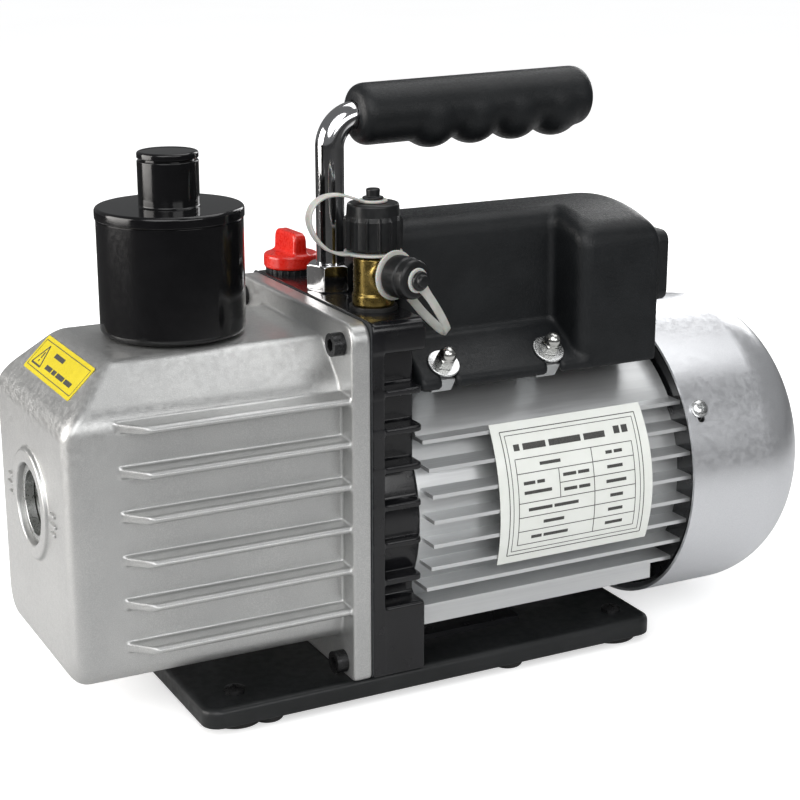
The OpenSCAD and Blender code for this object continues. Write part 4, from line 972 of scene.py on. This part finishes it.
def strap(name, node, rings, knots, width, origin, along, across):
    """Two flat rings joined by a bent ribbon; knots are (along, across) distances from the origin."""
    bm = bmesh.new()
    for at, inner, outer in rings:
        outline = rounded([(inner, 0, 0.2), (outer, 0, 0.4), (outer, STRAP_T, 0.4), (inner, STRAP_T, 0.2)], 3)
        add_lathe(bm, outline, 64, at=at)
    flat = spline_points(knots, 72)
    widths = np.interp(np.linspace(0, 1, len(flat)), (0, 0.12, 0.85, 1), width)
    centres = [origin + along * float(a) + across * float(b) for a, b in flat]
    step = np.gradient(flat, axis=0)
    step /= np.linalg.norm(step, axis=1)[:, None]
    faces = [across * float(t[0]) - along * float(t[1]) for t in step]
    add_ribbon(bm, centres, along.cross(across), faces, widths, STRAP_T)
    mesh = make_mesh(name, bm, HERE, 50)
    mesh.materials.append(LOOKS[SLOT_OF[node]])
    obj = bpy.data.objects.new(name, mesh)
    bpy.context.scene.collection.objects.link(obj)
    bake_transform(obj)
    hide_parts(node)


STRAP_T = 1.15
UP, FORWARD = Vector((0, 0, 1)), Vector((-1, 0, 0))
tee_axis = Vector((FITTING_X, TEE_Y, 0))
strap("top_strap_ribbon", "top_strap",
      [(place(*tee_axis.xy, 200.8), 7.15, 12.8), (place(*tee_axis.xy, CAP_TOP + 0.15), 2.15, 6.3)],
      [(11.5, 201.4), (17, 202.0), (23, 204.8), (28, 210.4), (30.6, 217.4), (28.8, 223.4), (23.6, 226.9),
       (16.4, 227.4), (10, 225.6), (5.4, 223.8)],
      (6.0, 5.4, 5.0, 6.0), tee_axis, FORWARD, UP)

port = tee_axis + UP * PORT_Z
SAG = math.radians(50)
hang = Vector((math.cos(PORT_TURN) * math.cos(SAG), math.sin(PORT_TURN) * math.cos(SAG), -math.sin(SAG)))
strap("side_strap_ribbon", "side_strap",
      [(at_port @ place(0, 0, 13.3), 6.0, 10.9), (at_port @ place(0, 0, 27.75), 2.15, 5.4)],
      [(13.9, 9.5), (13.9, 16), (15.0, 25), (18.2, 33), (21.2, 35.6), (24.0, 34), (26.4, 26), (27.9, 16),
       (28.3, 8), (28.3, 4.2)],
      (6.0, 4.2, 4.2, 5.6), port, OUT, hang)

# ---------- box washers and acorn nuts ----------

WASHER_T = 1.1


def stud_matrix(stud_x, side, out):
    return place(stud_x, 0, SHAFT_Z) @ Matrix.Rotation(side * STUD_TURN, 4, "X") @ place(0, 0, out)


def washers():
    bm = bmesh.new()
    outline = rounded([(2.8, 0.05, 0.2), (7.5, 0.05, 0.3), (7.5, WASHER_T, 0.45), (2.8, WASHER_T, 0.3)], 3)
    for stud_x in STUD_XS:
        for side in (-1, 1):
            add_lathe(bm, outline, 64, at=stud_matrix(stud_x, side, SKIRT_R))
    finish_mesh("washers_turned", bm, stands_for("box_washers"))


washers()


def acorn_field(x, y, z):
    r = np.hypot(x, y)
    body = smax(hexagon(x, y, 8.0, math.radians(12)), slab(z, 0, 4.4), 0.35)
    body = smax(body, (r - 4.15) * 0.5 + (z - 4.4) * 0.87, 0.3)
    body = smax(body, (r - 4.25) * 0.6 - z * 0.8, 0.3)
    dome = smax(r - 3.7, z - 5.7, 0.2)
    dome = np.minimum(dome, np.sqrt(x ** 2 + y ** 2 + (z - 5.6) ** 2) - 3.7)
    body = smin(body, np.maximum(dome, -z), 0.7)
    return np.maximum(body, -np.maximum(r - 2.6, z - 6.9))


def acorn_nuts():
    points, faces = surface(acorn_field, (-5.2, -5.2, -0.6), (5.2, 5.2, 10.4), 0.3 * COARSE)
    bm = bmesh.new()
    for stud_x in STUD_XS:
        for side in (-1, 1):
            at = stud_matrix(stud_x, side, SKIRT_R + WASHER_T)
            verts = [bm.verts.new(at @ Vector(p)) for p in points]
            for quad in faces:
                bm.faces.new([verts[i] for i in quad])
    finish_mesh("acorn_nuts_turned", bm, stands_for("acorn_nuts"), sharp=28)


acorn_nuts()

# ---------- switch panel ----------


def window(middle_y, half_y, half_z, corner):
    """Rounded rectangle about the panel's middle height."""
    corners = ((-1, -1), (1, -1), (1, 1), (-1, 1))
    return rounded([(middle_y + a * half_y, PANEL_Z + b * half_z, corner) for a, b in corners], 6)


cut_sheet("panel_moulded", [
    window((panel_low[1] + panel_high[1]) / 2, (panel_high[1] - panel_low[1]) / 2,
           (panel_high[2] - panel_low[2]) / 2, 5),
    window(*PANEL_WINDOWS[0], 0.8), window(*PANEL_WINDOWS[1], 1.2)], panel_low[0], panel_high[0], 1.2,
    Matrix(((0, 0, 1, 0), (1, 0, 0, 0), (0, 1, 0, 0), (0, 0, 0, 1))), "switch_panel")

# ---------- stickers ----------

LABEL_R, LABEL_X0, LABEL_X1 = 69.95, 61.5, 142.5
LABEL_A0, LABEL_A1 = math.radians(54), math.radians(109)
LABEL_WIDE, LABEL_ARC = LABEL_X1 - LABEL_X0, (LABEL_A1 - LABEL_A0) * LABEL_R
THIN, RULE, WORD = 0.34, 1.5, 2.2


def on_label(u, v, lift):
    """Point on the curved rating label: u along the shaft, v down round the motor, in millimetres."""
    angle = LABEL_A0 + v / LABEL_R
    radius = LABEL_R + lift
    return (LABEL_X0 + u, -radius * math.sin(angle), SHAFT_Z + radius * math.cos(angle))


def on_label_bowed(u, v, lift):
    """The same, with the two upright ends of the sheet bowed outward a little."""
    bow = 0.7 * math.sin(math.pi * v / LABEL_ARC)
    return on_label(u + (-bow if u == 0 else bow if u == LABEL_WIDE else 0), v, lift)


def on_slope(u, v, lift):
    """Point on the sloped face: u up the slope from its lower edge, v towards +Y, lift away from it."""
    return (TANK_FRONT + u * math.cos(SLOPE) - lift * math.sin(SLOPE), v,
            FACE_TOP + u * math.sin(SLOPE) + lift * math.cos(SLOPE))


def add_sheet(bm, where, us, vs, low, high):
    """Thin closed sheet over a grid in sticker coordinates."""
    grid = [[[bm.verts.new(where(u, v, lift)) for u in us] for v in vs] for lift in (low, high)]
    rows, columns = len(vs) - 1, len(us) - 1
    for face in grid:
        for i in range(rows):
            for j in range(columns):
                bm.faces.new((face[i][j], face[i][j + 1], face[i + 1][j + 1], face[i + 1][j]))
    rim = [(0, j) for j in range(columns)] + [(i, columns) for i in range(rows)]
    rim += [(rows, j) for j in range(columns, 0, -1)] + [(i, 0) for i in range(rows, 0, -1)]
    for (a, b), (c, d) in zip(rim, rim[1:] + rim[:1]):
        bm.faces.new((grid[0][a][b], grid[0][c][d], grid[1][c][d], grid[1][a][b]))


class Print:
    """Raised ink on a sticker, from low to high above its face."""

    def __init__(self, where, low, high):
        self.bm, self.where, self.low, self.high = bmesh.new(), where, low, high

    def line(self, a, b, width):
        """Straight line between two points in sticker coordinates."""
        a, b = np.array(a, float), np.array(b, float)
        along = (b - a) / np.linalg.norm(b - a)
        across = np.array([-along[1], along[0]]) * width / 2
        pieces = max(1, int(abs(b[1] - a[1]) / 3))
        edges = ((-1, self.low), (1, self.low), (1, self.high), (-1, self.high))
        skin(self.bm, [[self.where(*(a + (b - a) * t + s * across), lift) for s, lift in edges]
                       for t in np.linspace(0, 1, pieces + 1)])

    def outline(self, corners, width):
        for a, b in zip(corners, corners[1:] + corners[:1]):
            self.line(a, b, width)

    def bars(self, start, v, lengths, width, gap=1.1, turned=False):
        """Row of short bars that stand for the words of a printed line."""
        for length in lengths:
            ends = ((v, -start), (v, -start - length)) if turned else ((start, v), (start + length, v))
            self.line(*ends, width)
            start += length + gap

    def finish(self, name):
        finish_mesh(name, self.bm, printed(INK, "black_gloss"))


def frame_corners(u0, v0, u1, v1):
    return [(u0, v0), (u1, v0), (u1, v1), (u0, v1)]


def rating_label():
    """White sheet with an empty table: two borders, ruled lines and bars in place of words."""
    bm = bmesh.new()
    add_sheet(bm, on_label_bowed, np.linspace(0, LABEL_WIDE, 25), np.linspace(0, LABEL_ARC, 41), -0.35, 0.0)
    finish_mesh("rating_label_sheet", bm, stands_for("rating_label"))

    ink = Print(on_label, 0.02, 0.1)
    for inset, width in ((4.2, 0.4), (6.2, 0.3)):
        ink.outline(frame_corners(inset, inset, LABEL_WIDE - inset, LABEL_ARC - inset), width)
    left, right, top, bottom = 9.0, LABEL_WIDE - 9.0, 17.5, LABEL_ARC - 9.0
    step = (bottom - top) / 6
    split, inner = left + 40.5, left + 22.0
    for i in range(7):
        ink.line((inner if i == 2 else left, top + i * step), (right, top + i * step), THIN)
    for u, v0, v1 in ((left, top, bottom), (split, top, bottom), (right, top, bottom),
                      (inner, top + step, top + 3 * step)):
        ink.line((u, v0), (u, v1), THIN)
    ink.bars(9.5, 12.2, (3.0, 12.0, 17.0, 11.5), 3.0, 1.8)
    ink.bars(63.5, 11.2, (3.2, 3.2), 3.6, 1.2)
    cells = (((left + 12.5, (11.0,)), (split + 7.5, (3.5, 4.5))),
             ((inner + 2.0, (7.0, 6.0)), (split + 7.5, (8.5,))),
             ((inner + 2.0, (7.0, 6.0)), (split + 6.5, (11.0,))),
             ((left + 5.0, (12.5, 13.0)), (split + 8.5, (7.0,))),
             ((left + 13.0, (11.0,)), (split + 7.5, (8.0,))),
             ((left + 7.0, (5.5, 13.0)), (split + 6.5, (9.5,))))
    for row, groups in enumerate(cells):
        for start, lengths in groups:
            ink.bars(start, top + (row + 0.5) * step, lengths, RULE)
    for lift, lengths in ((-2.2, (6.0, 4.0)), (2.2, (14.5,))):
        ink.bars(left + 3.0, top + 2 * step + lift, lengths, RULE)
    ink.finish("rating_label_print")


rating_label()


def notice_label():
    """Yellow sheet on the sloped face with a border, a plain triangle and bars in place of words."""
    u0, u1, v0, v1, inset = 11.5, 29.0, -33.0, 31.0, 2.0
    bm = bmesh.new()
    add_sheet(bm, on_slope, (u0, u1), (v0, v1), 0.05, 0.3)
    upright = [e for e in bm.edges if e.calc_length() < 0.3]
    bmesh.ops.bevel(bm, geom=upright, offset=1.2, segments=4, affect="EDGES", profile=0.5)
    finish_mesh("notice_label_sheet", bm, stands_for("warning_label"))

    ink = Print(on_slope, 0.32, 0.37)
    ink.outline(frame_corners(u0 + inset, v0 + inset, u1 - inset, v1 - inset), 0.35)
    apex, foot, half, sign_v = u1 - 3.6, u0 + 3.9, 5.8, v1 - 10.5
    ink.outline([(apex, sign_v), (foot, sign_v - half), (foot, sign_v + half)], 0.9)
    ink.line((foot + 3.4, sign_v), (apex - 3.4, sign_v), 1.1)
    ink.line((foot + 1.6, sign_v), (foot + 2.6, sign_v), 1.1)
    ink.bars(-9.5, u1 - 5.6, (12.5,), WORD, 1.4, turned=True)
    ink.bars(-9.5, u0 + 5.6, (8.0, 4.5, 9.5, 8.5), WORD, 1.4, turned=True)
    ink.finish("notice_label_print")


notice_label()

# ---------- softened edges of the CAD nodes ----------

SOFT_EDGE = {
    "motor_housing": 0.25, "end_shield": 0.5, "fan_cover": 0.25, "cover_screws": 0.15, "casing_gasket": 0.08,
    "casing_screws": 0.35, "foot_screws": 0.2, "base_screws": 0.3, "drain_plug": 0.4, "drain_seal": 0.2,
    "filter_element": 0.4, "filter_seal": 0.2, "pump_cylinder": 0.5, "pump_end_cover": 0.5,
    "pump_screws": 0.2, "pump_rotor": 0.25, "vanes": 0.2, "exhaust_reed": 0.04, "reed_stop": 0.1,
    "shaft_seal": 0.2, "drive_shaft": 0.3, "front_bearing": 0.25, "rear_bearing": 0.25, "motor_cradle": 0.4,
    "stator_core": 0.3, "stator_windings": 1.0, "motor_rotor": 0.4, "cooling_fan": 0.3, "box_studs": 0.2,
    "run_capacitor": 0.5, "rocker_switch": 0.4, "power_inlet": 0.35, "tee_seal": 0.25, "ballast_valve": 0.15,
}
for name, width in SOFT_EDGE.items():
    node = frame["nodes"][name]
    weld = node.modifiers.new("weld", "WELD")
    weld.merge_threshold = 2e-6
    bevel = node.modifiers.new("soft_edges", "BEVEL")
    bevel.width = width * MM
    bevel.segments = 2
    bevel.limit_method = "ANGLE"
    bevel.angle_limit = math.radians(38)
    node.modifiers.new("even_normals", "WEIGHTED_NORMAL").keep_sharp = False


# ---------- camera, light and floor ----------


def aim(obj, target):
    obj.rotation_mode = "QUATERNION"
    obj.rotation_quaternion = (Vector(target) - obj.location).to_track_quat("-Z", "Y")


def area_light(name, where, size, power, colour=(1, 1, 1)):
    data = bpy.data.lights.new(name, "AREA")
    data.shape = "RECTANGLE"
    data.size, data.size_y = size
    data.energy = power
    data.color = colour
    obj = bpy.data.objects.new(name, data)
    bpy.context.scene.collection.objects.link(obj)
    obj.location = where
    aim(obj, (0.0, 0.0, 0.12))


def link(tree, source, node, key):
    tree.links.new(source, node.inputs[key])


def math_node(tree, operation, factor, added=0.0):
    node = tree.nodes.new("ShaderNodeMath")
    node.operation = operation
    node.inputs[1].default_value = factor
    node.inputs[2].default_value = added
    return node


def floor():
    """Pale floor; rays other than the camera's see a darker table that ends near the pump."""
    mesh = bpy.data.meshes.new("studio_floor")
    reach = 30.0
    mesh.from_pydata([(-reach, -reach, 0), (reach, -reach, 0), (reach, reach, 0), (-reach, reach, 0)],
                     [], [(0, 1, 2, 3)])
    obj = bpy.data.objects.new("studio_floor", mesh)
    bpy.context.scene.collection.objects.link(obj)
    look = Look("pale_floor", (0.84, 0.84, 0.84), Roughness=0.8, Emission_Color=(1, 1, 1, 1),
                Emission_Strength=0.52, Specular_IOR_Level=0.1)
    white = look.tint((0.81, 0.81, 0.81), noise(300), 0.5).done()
    tree = white.node_tree
    distance, fade = tree.nodes.new("ShaderNodeVectorMath"), tree.nodes.new("ShaderNodeMapRange")
    distance.operation = "LENGTH"
    for key, number in (("From Min", 0.42), ("From Max", 0.75), ("To Min", 0.62), ("To Max", 0.06)):
        fade.inputs[key].default_value = number
    table, seen = tree.nodes.new("ShaderNodeBsdfDiffuse"), tree.nodes.new("ShaderNodeLightPath")
    pick = tree.nodes.new("ShaderNodeMixShader")
    output = next(n for n in tree.nodes if n.type == "OUTPUT_MATERIAL")
    link(tree, look.where, distance, 0)
    link(tree, distance.outputs["Value"], fade, "Value")
    link(tree, fade.outputs["Result"], table, "Color")
    link(tree, seen.outputs["Is Camera Ray"], pick, 0)
    link(tree, table.outputs[0], pick, 1)
    link(tree, look.shader.outputs[0], pick, 2)
    link(tree, pick.outputs[0], output, "Surface")
    mesh.materials.append(white)


def backdrop():
    """White behind the pump for the camera, dim for the light it gives and dimmer in reflections."""
    world = bpy.data.worlds.new("studio_world")
    bpy.context.scene.world = world
    bpy.context.scene.view_settings.view_transform = "Standard"
    world.use_nodes = True
    tree = world.node_tree
    rays = tree.nodes.new("ShaderNodeLightPath")
    shown = math_node(tree, "MULTIPLY_ADD", 0.70, 0.28)
    glossy = math_node(tree, "MULTIPLY_ADD", -0.12)
    link(tree, rays.outputs["Is Camera Ray"], shown, 0)
    link(tree, rays.outputs["Is Glossy Ray"], glossy, 0)
    link(tree, shown.outputs[0], glossy, 2)
    back = tree.nodes["Background"]
    back.inputs["Color"].default_value = (0.97, 0.985, 1.0, 1)
    link(tree, glossy.outputs[0], back, "Strength")


def lights():
    data = bpy.data.lights.new("broad_sun", "SUN")
    data.energy = 1.6
    data.angle = math.radians(50)
    sun = bpy.data.objects.new("broad_sun", data)
    bpy.context.scene.collection.objects.link(sun)
    sun.location = (-0.9, -1.3, 1.2)
    aim(sun, (0, 0, 0))
    area_light("left_box", (-1.3, 0.35, 0.45), (1.1, 0.9), 20, (1.0, 0.97, 0.94))
    area_light("front_box", (0.25, -1.7, 0.75), (1.2, 0.6), 7)
    area_light("top_strip", (0.45, 0.1, 1.3), (1.4, 0.8), 7)
    area_light("rear_rim", (1.2, 0.9, 0.7), (0.6, 0.8), 6)


def camera():
    data = bpy.data.cameras.new("camera")
    data.lens = 80.96
    data.sensor_width = 36.0
    data.clip_end = 20
    obj = bpy.data.objects.new("camera", data)
    bpy.context.scene.collection.objects.link(obj)
    azimuth, elevation, distance = math.radians(-27.456), math.radians(16.204), 0.84886
    target = Vector((JOINT_X * MM + 0.04613, -0.00009, 0.12042))
    back = Vector((math.sin(azimuth) * math.cos(elevation), -math.cos(azimuth) * math.cos(elevation),
                   math.sin(elevation)))
    obj.location = target + back * distance
    aim(obj, target)
    bpy.context.scene.camera = obj


floor()
backdrop()
lights()
camera()
